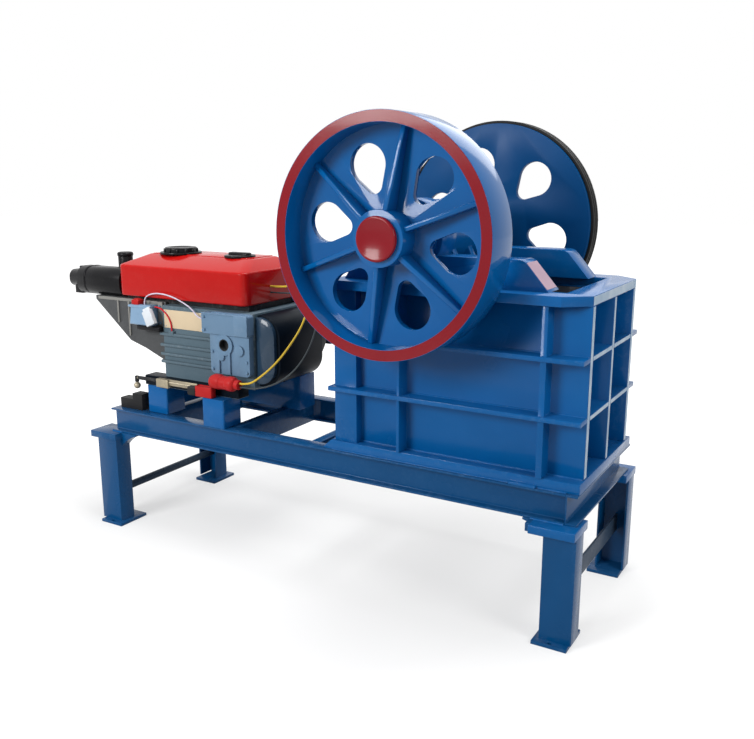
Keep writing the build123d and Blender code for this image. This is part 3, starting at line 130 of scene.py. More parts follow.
class Bench:
    """Primitives and edit steps that every sub-assembly shares."""

    @staticmethod
    def clear() -> None:
        """Leaves nothing selected and no object in edit mode."""
        if bpy.context.object and bpy.context.object.mode != "OBJECT":
            bpy.ops.object.mode_set(mode="OBJECT")
        bpy.ops.object.select_all(action="DESELECT")

    @staticmethod
    def take(*pieces: bpy.types.Object) -> None:
        """Selects these pieces alone, the first of them active.

        Args:
            *pieces: The pieces to select.
        """
        Bench.clear()
        for piece in pieces:
            piece.select_set(True)
        bpy.context.view_layer.objects.active = pieces[0]

    @staticmethod
    def settle(piece: bpy.types.Object, name: str) -> bpy.types.Object:
        """Names a piece and puts its place into its mesh.

        Args:
            piece: The piece to finish.
            name: Its name in plain words.

        Returns:
            The same piece, at the origin.
        """
        Bench.take(piece)
        bpy.ops.object.transform_apply(location=True, rotation=True, scale=True)
        piece.name = name
        piece.data.name = name
        return piece

    @staticmethod
    def block(name: str, low: Point, high: Point) -> bpy.types.Object:
        """Adds a straight block between two corners in the maker's millimetres.

        Args:
            name: The block's name.
            low: Its lowest corner.
            high: Its highest corner.

        Returns:
            The new block.
        """
        Bench.clear()
        a = at(*low)
        b = at(*high)
        bpy.ops.mesh.primitive_cube_add(size=1.0, location=(a + b) / 2, scale=b - a)
        return Bench.settle(bpy.context.object, name)

    @staticmethod
    def drum(name: str, centre: Point, axis: Axis, radius: float, length: float,
             sides: int = 48) -> bpy.types.Object:
        """Adds a round bar.

        Args:
            name: The piece's name.
            centre: The bar's middle, in the maker's millimetres.
            axis: The direction that it runs in.
            radius: Its radius in millimetres.
            length: Its length in millimetres.
            sides: The number of flats round it.

        Returns:
            The new piece.
        """
        Bench.clear()
        bpy.ops.mesh.primitive_cylinder_add(vertices=sides, radius=radius * MM, depth=length * MM,
                                            location=at(*centre), rotation=axis.value)
        return Bench.settle(bpy.context.object, name)

    @staticmethod
    def pick(piece: bpy.types.Object, test: Callable[[bmesh.types.BMFace], bool]) -> None:
        """Enters edit mode with the faces selected that pass a test."""
        Bench._select(piece, "FACE", "faces", test)

    @staticmethod
    def pick_points(piece: bpy.types.Object, test: Callable[[Vector], bool]) -> None:
        """Enters edit mode with the corners selected whose places pass a test."""
        Bench._select(piece, "VERT", "verts", lambda corner: test(corner.co))

    @staticmethod
    def pick_edges(piece: bpy.types.Object, test: Callable[[Vector, Vector], bool]) -> None:
        """Enters edit mode with the edges selected whose two ends pass a test."""
        Bench._select(piece, "EDGE", "edges", lambda edge: test(*(end.co for end in edge.verts)))

    @staticmethod
    def _select(piece: bpy.types.Object, mode: str, parts: str, test: Callable[..., bool]) -> None:
        """Enters edit mode in a selection mode, with the parts selected that pass a test.

        Args:
            piece: The piece to edit.
            mode: Blender's name for the selection mode.
            parts: The mesh's name for its parts of that kind.
            test: Says whether a part is wanted.
        """
        Bench.take(piece)
        bpy.ops.object.mode_set(mode="EDIT")
        bpy.ops.mesh.select_mode(type=mode)
        bpy.ops.mesh.select_all(action="DESELECT")
        mesh = bmesh.from_edit_mesh(piece.data)
        for part in getattr(mesh, parts):
            if test(part):
                part.select_set(True)
        mesh.select_flush_mode()
        bmesh.update_edit_mesh(piece.data)

    @staticmethod
    def inset(width: float) -> None:
        """Draws the selected face in by a width in millimetres."""
        bpy.ops.mesh.inset(thickness=width * MM, depth=0.0)

    @staticmethod
    def extrude(step: Point) -> None:
        """Pulls the selected face out by a step in millimetres."""
        bpy.ops.mesh.extrude_region_move(TRANSFORM_OT_translate={"value": tuple(Vector(step) * MM)})

    @staticmethod
    def move(step: Point) -> None:
        """Moves what is selected by a step in millimetres."""
        bpy.ops.transform.translate(value=tuple(Vector(step) * MM))

    @staticmethod
    def round_picked(radius: float, steps: int) -> None:
        """Rounds the picked edges by a radius in millimetres and leaves edit mode."""
        bpy.ops.mesh.bevel(offset=radius * MM, segments=steps, affect="EDGES", clamp_overlap=True)
        Bench.done()

    @staticmethod
    def turn(centre: Vector, angle: float, axis: str) -> Matrix:
        """Gives a turn about an axis through a place, in metres in the row's frame."""
        return Matrix.Translation(centre) @ Matrix.Rotation(angle, 4, axis) @ Matrix.Translation(-centre)

    @staticmethod
    def done() -> None:
        """Leaves edit mode."""
        bpy.ops.object.mode_set(mode="OBJECT")

    @staticmethod
    def apply(piece: bpy.types.Object, kind: str, **settings: object) -> bpy.types.Object:
        """Adds a modifier with these settings and applies it.

        Args:
            piece: The piece to change.
            kind: The modifier's type.
            **settings: The modifier's own settings.

        Returns:
            The same piece.
        """
        Bench.take(piece)
        modifier = piece.modifiers.new(kind.title(), kind)
        for key, value in settings.items():
            setattr(modifier, key, value)
        bpy.ops.object.modifier_apply(modifier=modifier.name)
        return piece

    @staticmethod
    def bevel(piece: bpy.types.Object, width: float, segments: int = 2,
              angle: float = BEVEL_ANGLE) -> bpy.types.Object:
        """Rounds a piece's sharp edges by a width in millimetres."""
        return Bench.apply(piece, "BEVEL", width=width * MM, segments=segments, limit_method="ANGLE",
                           angle_limit=angle, use_clamp_overlap=True)

    @staticmethod
    def smooth(piece: bpy.types.Object, angle: float = SMOOTH_ANGLE) -> bpy.types.Object:
        """Shades a piece smooth up to an angle between its faces.

        Args:
            piece: The piece to shade.
            angle: The largest angle that is shaded smooth.

        Returns:
            The same piece.
        """
        Bench.take(piece)
        bpy.ops.object.shade_smooth_by_angle(angle=angle)
        return piece

    @staticmethod
    def cut(piece: bpy.types.Object, cutter: bpy.types.Object) -> bpy.types.Object:
        """Cuts one piece by another, which is then removed.

        Args:
            piece: The piece to cut.
            cutter: The piece that cuts.

        Returns:
            The first piece.
        """
        Bench.apply(piece, "BOOLEAN", operation="DIFFERENCE", solver="EXACT", object=cutter)
        bpy.data.objects.remove(cutter, do_unlink=True)
        return piece

    @staticmethod
    def join(name: str, pieces: Sequence[bpy.types.Object]) -> bpy.types.Object:
        """Joins several pieces into one.

        Args:
            name: The joined piece's name.
            pieces: The pieces to join.

        Returns:
            The joined piece.
        """
        Bench.take(*pieces)
        if len(pieces) > 1:
            bpy.ops.object.join()
        return Bench.settle(bpy.context.object, name)

    @staticmethod
    def copy(piece: bpy.types.Object, name: str, move: Matrix) -> bpy.types.Object:
        """Copies a piece with its own mesh and moves the copy.

        Args:
            piece: The piece to repeat.
            name: The copy's name.
            move: The copy's place against the first one, in metres in the row's frame.

        Returns:
            The copy, at the origin.
        """
        Bench.take(piece)
        bpy.ops.object.duplicate(linked=False)
        twin = bpy.context.object
        twin.matrix_world = move @ twin.matrix_world
        twin = Bench.settle(twin, name)
        if move.determinant() < 0:
            Bench.pick(twin, lambda face: True)
            bpy.ops.mesh.normals_make_consistent(inside=False)
            Bench.done()
        return twin


@dataclass(frozen=True)
class Block:
    """A straight block with rounded edges, from which a part is made.

    Attributes:
        name: The block's name.
        low: Its lowest corner, in the maker's millimetres.
        high: Its highest corner.
        edge: The radius of its edges.
        steps: The number of steps round an edge.
    """

    name: str
    low: Point
    high: Point
    edge: float = 2.0
    steps: int = 2

    def sharp(self) -> bpy.types.Object:
        """Adds the block with its edges still sharp."""
        return Bench.block(self.name, self.low, self.high)

    def rounded(self) -> bpy.types.Object:
        """Adds the block with its edges rounded."""
        return Bench.bevel(self.sharp(), self.edge, segments=self.steps)


@dataclass(frozen=True)
class Drum:
    """A round bar with rounded ends, from which a part is made.

    Attributes:
        name: The bar's name.
        centre: Its middle, in the maker's millimetres.
        axis: The direction that it runs in.
        radius: Its radius.
        length: Its length.
        sides: The number of flats round it.
        edge: The radius of its ends' edges.
        steps: The number of steps round an edge.
    """

    name: str
    centre: Point
    axis: Axis
    radius: float
    length: float
    sides: int = 48
    edge: float = 2.0
    steps: int = 2

    def sharp(self) -> bpy.types.Object:
        """Adds the bar with its edges still sharp."""
        return Bench.drum(self.name, self.centre, self.axis, self.radius, self.length, self.sides)

    def rounded(self) -> bpy.types.Object:
        """Adds the bar with its edges rounded."""
        return Bench.bevel(self.sharp(), self.edge, segments=self.steps)


class Way(Enum):
    """The way that a bolt's head faces, with the bar's axis and the unit step."""

    FRONT = (Axis.Y, (0.0, -1.0, 0.0))
    BACK = (Axis.Y, (0.0, 1.0, 0.0))


@dataclass(frozen=True)
class Fastener:
    """A bolt or rivet head of one size, on its washer.

    Attributes:
        head: The head's radius.
        rise: The head's height.
        sides: The number of flats, 6 for a hexagon.
        washer_share: The washer's thickness as a share of the head's height.
        washer_reach: The washer's radius as a multiple of the head's.
        washer_sides: The number of flats round the washer.
        round_share: The rounding of the head as a share of its height.
    """

    head: float
    rise: float
    sides: int = 6
    washer_share: float = 0.25
    washer_reach: float = 1.25
    washer_sides: int = 24
    round_share: float = 0.12

    def row(self, name: str, way: Way, places: Sequence[Point]) -> bpy.types.Object:
        """Models one head on its washer and copies it to every place.

        Args:
            name: The row's name.
            way: The way that the heads face.
            places: The seats, in the maker's millimetres.

        Returns:
            All the heads as one piece.
        """
        axis, step = way.value
        first = Vector(places[0])
        direction = Vector(step)
        washer_rise = self.rise * self.washer_share
        washer = Bench.drum("washer", tuple(first + direction * washer_rise / 2), axis,
                            self.head * self.washer_reach, washer_rise, self.washer_sides)
        head = Bench.drum("head", tuple(first + direction * (washer_rise + self.rise / 2)), axis,
                          self.head, self.rise, self.sides)
        Bench.bevel(head, self.rise * self.round_share, segments=2)
        model = Bench.join(name, [washer, head])
        copies = [Bench.copy(model, name, Matrix.Translation((Vector(place) - first) * MM))
                  for place in places[1:]]
        return Bench.smooth(Bench.join(name, [model, *copies]))


def fill(tree: bpy.types.NodeTree, node: bpy.types.Node, inputs: dict[str | int, object]) -> None:
    """Gives inputs of a node a value each, or another node's output.

    Args:
        tree: The tree that the node stands in.
        node: The node to fill.
        inputs: What its inputs get, by name or by place.
    """
    for key, value in inputs.items():
        if isinstance(value, bpy.types.NodeSocket):
            tree.links.new(value, node.inputs[key])
        else:
            node.inputs[key].default_value = value


def add_node(tree: bpy.types.NodeTree, kind: str, inputs: dict[str | int, object],
             **settings: object) -> bpy.types.NodeOutputs:
    """Adds a shader node to a tree.

    Args:
        tree: The tree that it joins.
        kind: Its type, such as Math or Bump.
        inputs: What its inputs get, by name or by place.
        **settings: Its options, which are set first.

    Returns:
        Its outputs.
    """
    node = tree.nodes.new(f"ShaderNode{kind}")
    for key, value in settings.items():
        setattr(node, key, value)
    fill(tree, node, inputs)
    return node.outputs


class ShaderGroup:
    """A shader node group that is filled in node by node."""

    SOCKET_TYPES = {"RGBA": "RGBA", "FLOAT": "VALUE"}

    def __init__(self, name: str, takes: dict[str, str | float], gives: dict[str, str]) -> None:
        """Starts a group.

        Args:
            name: The group's name.
            takes: Its inputs, each with its kind or with the number that it starts at.
            gives: Its outputs, each with its kind.
        """
        self.tree = bpy.data.node_groups.new(name, "ShaderNodeTree")
        for label, kind in takes.items():
            if isinstance(kind, str):
                self._socket(label, "INPUT", kind)
            else:
                self._socket(label, "INPUT", "Float").default_value = kind
        for label, kind in gives.items():
            self._socket(label, "OUTPUT", kind)
        self.given = self.tree.nodes.new("NodeGroupInput").outputs
        self.exit = self.tree.nodes.new("NodeGroupOutput")

    def _socket(self, label: str, end: str, kind: str) -> bpy.types.NodeTreeInterfaceSocket:
        """Adds a named socket to one end of the group."""
        return self.tree.interface.new_socket(label, in_out=end, socket_type=f"NodeSocket{kind}")

    def add(self, kind: str, inputs: dict[str | int, object], **settings: object) -> bpy.types.NodeOutputs:
        """Adds a node to the group and returns its outputs."""
        return add_node(self.tree, kind, inputs, **settings)

    def noise(self, scale: float | bpy.types.NodeSocket, detail: float,
              roughness: float = 0.55) -> bpy.types.NodeSocket:
        """Adds a noise pattern and returns its value."""
        return self.add("TexNoise", {"Vector": self.given["Coordinates"], "Scale": scale,
                                     "Detail": detail, "Roughness": roughness})["Fac"]

    def spread(self, value: bpy.types.NodeSocket, low: float, high: float) -> bpy.types.NodeSocket:
        """Stretches what lies between two limits to 0 to 1."""
        return self.add("MapRange", {"Value": value, "From Min": low, "From Max": high})["Result"]

    def multiply(self, a: bpy.types.NodeSocket, b: bpy.types.NodeSocket) -> bpy.types.NodeSocket:
        """Multiplies two values."""
        return self.add("Math", {0: a, 1: b}, operation="MULTIPLY")[0]

    def mix(self, share: bpy.types.NodeSocket, a: bpy.types.NodeSocket, b: bpy.types.NodeSocket,
            data_type: str = "RGBA") -> bpy.types.NodeSocket:
        """Mixes two colours, or two numbers where the data type is FLOAT."""
        outputs = self.add("Mix", {"Factor": share, "A": a, "B": b}, data_type=data_type)
        return [socket for socket in outputs if socket.type == self.SOCKET_TYPES[data_type]][0]

    def close(self, **results: bpy.types.NodeSocket) -> bpy.types.NodeTree:
        """Links the results to the group's outputs and returns the whole group."""
        fill(self.tree, self.exit, results)
        return self.tree


class Effects:
    """The surface effects that several finishes use, each built once."""

    def __init__(self) -> None:
        """Builds every effect."""
        self.shade = self._shade()
        self.wear = self._wear()
        self.dust = self._dust()
        self.grain = self._grain()

    @staticmethod
    def _shade() -> bpy.types.NodeTree:
        """Cloudy change of colour over a surface.

        Returns:
            The effect's node group.
        """
        takes = {"Coordinates": "Vector", "Colour": "Color", "Shade": "Color", "Scale": 3.0, "Amount": 0.4}
        group = ShaderGroup("cloudy_shade", takes, {"Colour": "Color"})
        given = group.given
        clouds = group.spread(group.noise(given["Scale"], 4.0), 0.35, 0.7)
        share = group.multiply(clouds, given["Amount"])
        return group.close(Colour=group.mix(share, given["Colour"], given["Shade"]))

    @staticmethod
    def _wear() -> bpy.types.NodeTree:
        """Paint worn off the edges in small patches.

        Returns:
            The effect's node group.
        """
        takes = {"Coordinates": "Vector", "Edge": 0.5, "Colour": "Color", "Bare": "Color", "Amount": 0.5}
        group = ShaderGroup("edge_wear", takes, {"Colour": "Color"})
        given = group.given
        ridge = group.spread(given["Edge"], 0.52, 0.6)
        patches = group.spread(group.noise(34.0, 6.0, 0.7), 0.5, 0.66)
        share = group.multiply(group.multiply(ridge, patches), given["Amount"])
        return group.close(Colour=group.mix(share, given["Colour"], given["Bare"]))

    @staticmethod
    def _dust() -> bpy.types.NodeTree:
        """Pale dust that settles on what faces up.

        Returns:
            The effect's node group.
        """
        takes = {"Coordinates": "Vector", "Normal": "Vector", "Colour": "Color", "Dust": "Color",
                 "Amount": 0.15}
        group = ShaderGroup("settled_dust", takes, {"Colour": "Color"})
        given = group.given
        upward = group.spread(group.add("SeparateXYZ", {0: given["Normal"]})["Z"], 0.2, 1.0)
        clouds = group.spread(group.noise(7.0, 6.0, 0.65), 0.3, 0.75)
        share = group.multiply(group.multiply(upward, clouds), given["Amount"])
        return group.close(Colour=group.mix(share, given["Colour"], given["Dust"]))

    @staticmethod
    def _grain() -> bpy.types.NodeTree:
        """Fine unevenness as a height and as a change of roughness.

        Returns:
            The effect's node group.
        """
        takes = {"Coordinates": "Vector", "Scale": 120.0, "Smooth": 0.3, "Rough": 0.5}
        group = ShaderGroup("fine_grain", takes, {"Height": "Float", "Roughness": "Float"})
        given = group.given
        fine = group.noise(given["Scale"], 5.0, 0.6)
        broad = group.spread(group.noise(6.0, 4.0), 0.3, 0.7)
        roughness = group.mix(broad, given["Smooth"], given["Rough"], "FLOAT")
        return group.close(Height=fine, Roughness=roughness)


@dataclass(frozen=True)
class Finish:
    """How one kind of surface looks.

    Attributes:
        name: The material's name.
        colour: The main colour.
        shade: The colour that it drifts to in clouds.
        smooth: The roughness where it is smoothest.
        rough: The roughness where it is dullest.
        metal: 1 for bare metal.
        gloss: The specular level.
        coat: The weight of a clear gloss.
        grain: The scale of the fine unevenness.
        relief: The strength of the fine unevenness.
        bare: What shows where edges are worn.
        wear: How much the edges are worn.
        dust: How much dust lies on upward faces.
        clouds: The scale of the clouds.
        drift: How far the colour drifts.
    """

    name: str
    colour: Colour
    shade: Colour
    smooth: float = 0.3
    rough: float = 0.45
    metal: float = 0.0
    gloss: float = 0.12
    coat: float = 0.0
    grain: float = 140.0
    relief: float = 0.05
    bare: Colour = (0.3, 0.3, 0.3)
    wear: float = 0.0
    dust: float = 0.0
    clouds: float = 3.0
    drift: float = 0.5

    def build(self, effects: Effects) -> bpy.types.Material:
        """Builds the material.

        Args:
            effects: The shared surface effects.

        Returns:
            The finished material.
        """
        material = bpy.data.materials.new(self.name)
        material.use_nodes = True
        tree = material.node_tree
        place = add_node(tree, "TexCoord", {})["Object"]
        surface = add_node(tree, "NewGeometry", {})

        def effect(group: bpy.types.NodeTree, **values: object) -> bpy.types.NodeOutputs:
            """Places a shared effect with this finish's own values."""
            return add_node(tree, "Group", {"Coordinates": place, **values}, node_tree=group)

        shade = effect(effects.shade, Colour=(*self.colour, 1), Shade=(*self.shade, 1),
                       Scale=self.clouds, Amount=self.drift)
        wear = effect(effects.wear, Edge=surface["Pointiness"], Colour=shade["Colour"],
                      Bare=(*self.bare, 1), Amount=self.wear)
        dust = effect(effects.dust, Normal=surface["Normal"], Colour=wear["Colour"],
                      Dust=(*DUST_COLOUR, 1), Amount=self.dust)
        grain = effect(effects.grain, Scale=self.grain, Smooth=self.smooth, Rough=self.rough)
        bump = add_node(tree, "Bump", {"Strength": self.relief, "Distance": BUMP_DISTANCE,
                                       "Height": grain["Height"]})
        fill(tree, tree.nodes["Principled BSDF"], {
            "Base Color": dust["Colour"],
            "Roughness": grain["Roughness"],
            "Normal": bump["Normal"],
            "Metallic": self.metal,
            "Specular IOR Level": self.gloss,
            "Coat Weight": self.coat,
            "Coat Roughness": COAT_ROUGHNESS,
        })
        return material


FINISHES = {
    "blue_paint": Finish("glossy_blue_enamel", (0.0015, 0.095, 0.3), (0.001, 0.064, 0.21), smooth=0.14,
                         rough=0.28, coat=0.08, relief=0.02, grain=60.0, bare=(0.2, 0.34, 0.5),
                         wear=0.12, dust=0.02, drift=0.45),
    "wheel_blue": Finish("polished_blue_enamel", (0.0015, 0.1, 0.315), (0.001, 0.068, 0.22), smooth=0.07,
                         rough=0.15, gloss=0.12, coat=0.16, relief=0.008, grain=30.0, drift=0.4),
    # A darker copy of the wheel blue for the far flywheel: painted shade.
    "deep_blue": Finish("shaded_far_wheel_blue_enamel", (0.002, 0.058, 0.185), (0.001, 0.04, 0.135), smooth=0.3,
                        rough=0.42, gloss=0.08, relief=0.01, grain=30.0, drift=0.4),
    # A darker copy of the crusher's blue for the rails, cross beams and legs: painted shade.
    "stand_blue": Finish("skid_blue_enamel_in_shade", (0.0015, 0.062, 0.185), (0.001, 0.046, 0.14), smooth=0.16,
                         rough=0.32, coat=0.06, relief=0.03, grain=60.0, bare=(0.2, 0.34, 0.5),
                         wear=0.15, dust=0.03, drift=0.45),
    # Pale blue-grey for the strips of painted highlight on the ribbed end's edges.
    "worn_blue": Finish("painted_highlight_blue_grey", (0.42, 0.5, 0.58), (0.12, 0.26, 0.42), smooth=0.3, rough=0.5,
                        relief=0.05, clouds=9.0, drift=0.7),
    # Pinkish grey of the thin skin on the near stand's slope.
    "pink_primer": Finish("pinkish_grey_skin", (0.4, 0.27, 0.33), (0.3, 0.2, 0.27), smooth=0.25, rough=0.4,
                          relief=0.05, clouds=6.0),
    # Near-black for the rear shroud, and also for the painted shade over the engine's feet.
    "rear_black": Finish("near_black_shroud_and_shade", (0.003, 0.006, 0.011), (0.005, 0.008, 0.012), smooth=0.28,
                         rough=0.4, gloss=0.04, relief=0.04),
    "cover_grey": Finish("pale_grey_blue_cover", (0.13, 0.22, 0.33), (0.1, 0.17, 0.26), smooth=0.25,
                         rough=0.42, relief=0.2, grain=130.0, bare=(0.3, 0.36, 0.44), wear=0.2,
                         dust=0.02),
    "grey_paint": Finish("dull_blue_grey_enamel", (0.028, 0.05, 0.085), (0.018, 0.034, 0.06),
                         smooth=0.35, rough=0.5, relief=0.05, bare=(0.2, 0.22, 0.26), wear=0.2,
                         dust=0.03),
    "red_paint": Finish("glossy_red_enamel", (0.215, 0.004, 0.01), (0.17, 0.003, 0.008), smooth=0.14,
                        rough=0.24, coat=0.12, relief=0.01, grain=40.0, drift=0.5),
    "jaw_steel": Finish("cast_jaw_steel", (0.13, 0.13, 0.135), (0.07, 0.065, 0.06), smooth=0.45,
                        rough=0.7, metal=0.7, relief=0.4, grain=60.0, bare=(0.4, 0.4, 0.4), wear=0.7,
                        dust=0.2),
    "machined_steel": Finish("turned_steel", (0.42, 0.43, 0.45), (0.3, 0.3, 0.32), smooth=0.25,
                             rough=0.4, metal=1.0, relief=0.05, grain=200.0),
    "engine_grey": Finish("grey_blue_casting", (0.09, 0.135, 0.165), (0.05, 0.085, 0.115), smooth=0.3,
                          rough=0.48, relief=0.35, grain=130.0, bare=(0.4, 0.42, 0.44), wear=0.5,
                          dust=0.06),
    "head_grey": Finish("warm_grey_casting", (0.066, 0.069, 0.072), (0.038, 0.04, 0.043), smooth=0.33,
                        rough=0.52, relief=0.4, grain=110.0, bare=(0.15, 0.16, 0.17), wear=0.3,
                        dust=0.02),
    "head_edge": Finish("pale_warm_casting", (0.23, 0.225, 0.21), (0.15, 0.15, 0.145), smooth=0.35,
                        rough=0.55, relief=0.3, grain=110.0, dust=0.06),
    "dark_cowl": Finish("dark_blue_cowl", (0.018, 0.042, 0.075), (0.008, 0.02, 0.038), smooth=0.16,
                        rough=0.34, coat=0.3, relief=0.1, dust=0.02),
    "cream_plate": Finish("bare_cream_plate", (0.62, 0.5, 0.34), (0.5, 0.4, 0.27), smooth=0.3,
                          rough=0.45, relief=0.04),
    "white_plastic": Finish("white_connector", (0.62, 0.66, 0.7), (0.5, 0.54, 0.6), smooth=0.3,
                            rough=0.45, relief=0.05),
    "yellow_cable": Finish("yellow_cable_sheath", (0.62, 0.42, 0.045), (0.4, 0.27, 0.03), smooth=0.3,
                           rough=0.45, relief=0.03),
    "grey_cable": Finish("grey_cable_sheath", (0.05, 0.06, 0.065), (0.03, 0.035, 0.04), smooth=0.35,
                         rough=0.5, relief=0.03),
    "red_hose": Finish("red_hose_skin", (0.55, 0.02, 0.03), (0.38, 0.012, 0.02), smooth=0.3, rough=0.45,
                       relief=0.03),
    "white_cable": Finish("pale_cable_sheath", (0.6, 0.56, 0.66), (0.45, 0.4, 0.55), smooth=0.3,
                          rough=0.45, relief=0.03),
    "hood_red": Finish("glossy_hood_red", (0.44, 0.006, 0.005), (0.37, 0.005, 0.004), smooth=0.12,
                       rough=0.22, gloss=0.08, coat=0.12, relief=0.01, bare=(0.6, 0.3, 0.25), wear=0.15,
                       drift=0.4),
    "black_plastic": Finish("black_moulding", (0.006, 0.006, 0.007), (0.012, 0.012, 0.014), smooth=0.2,
                            rough=0.36, relief=0.05, grain=220.0, dust=0.015),
    "filter_blue": Finish("pale_blue_bowl", (0.2, 0.33, 0.48), (0.12, 0.2, 0.33), smooth=0.15, rough=0.3,
                          coat=0.5, relief=0.03),
    "black_iron": Finish("black_casting", (0.015, 0.016, 0.018), (0.03, 0.03, 0.032), smooth=0.4,
                         rough=0.6, relief=0.3, bare=(0.2, 0.2, 0.2), wear=0.4, dust=0.08),
    "belt_rubber": Finish("belt_rubber", (0.012, 0.012, 0.012), (0.03, 0.03, 0.03), smooth=0.6,
                          rough=0.8, relief=0.3, grain=300.0, dust=0.12),
    "brass": Finish("worn_plated_brass", (0.34, 0.3, 0.22), (0.2, 0.17, 0.12), smooth=0.3, rough=0.5,
                    metal=0.5, relief=0.1, bare=(0.6, 0.5, 0.3), wear=0.4),
    "red_rubber": Finish("red_rubber", (0.43, 0.015, 0.015), (0.3, 0.01, 0.01), smooth=0.3, rough=0.5,
                         relief=0.1, grain=180.0, dust=0.04),
    "black_rubber": Finish("black_rubber", (0.014, 0.014, 0.015), (0.03, 0.03, 0.03), smooth=0.55,
                           rough=0.75, relief=0.25, grain=160.0, dust=0.1),
}

NODE_SLOTS = {
    "blue_paint": ("engine_blocks", "near_side_wall", "far_side_wall", "front_wall", "back_wall",
                   "top_flange", "base_flange", "near_bearing_stand", "far_bearing_stand", "moving_jaw",
                   "toggle_block"),
    # The skid's rails, beams and legs take the darker copy of the blue: painted shade.
    "stand_blue": ("near_rail", "far_rail", "cross_beams", "near_left_leg", "near_right_leg",
                   "far_left_leg", "far_right_leg"),
    "grey_paint": ("leg_braces",),
    "red_paint": ("hub_caps",),
    "jaw_steel": ("moving_jaw_plate", "fixed_jaw_plate", "cheek_plates", "toggle_plate"),
    "machined_steel": ("crusher_shaft", "tension_rod"),
    "engine_grey": ("engine_crankcase", "gear_cover", "cylinder_head"),
    "hood_red": ("engine_hood",),
    "black_plastic": ("filler_caps", "air_cleaner"),
    "filter_blue": ("fuel_filter",),
    "black_iron": ("engine_flywheel", "engine_pulley"),
    "belt_rubber": ("drive_belts",),
    "brass": ("hand_lever",),
    "red_rubber": ("cable_boot",),
    "black_rubber": ("rubber_pad",),
}


@dataclass(frozen=True)
class SoftBox:
    """A square lamp that looks at the machine.

    Attributes:
        name: The lamp's name.
        place: Where it hangs, in metres in the row's frame.
        size: Its side in metres.
        power: Its power in watts.
    """

    name: str
    place: Point
    size: float
    power: float

    def hang(self, target: Vector) -> None:
        """Hangs the lamp, turned to a target and unseen by the camera.

        Args:
            target: The place that it looks at, in metres.
        """
        lamp = bpy.data.lights.new(self.name, "AREA")
        lamp.size = self.size
        lamp.energy = self.power
        stand = bpy.data.objects.new(self.name, lamp)
        bpy.context.scene.collection.objects.link(stand)
        stand.location = self.place
        stand.visible_camera = False
        aim = target - Vector(self.place)
        stand.rotation_euler = aim.to_track_quat("-Z", "Y").to_euler()


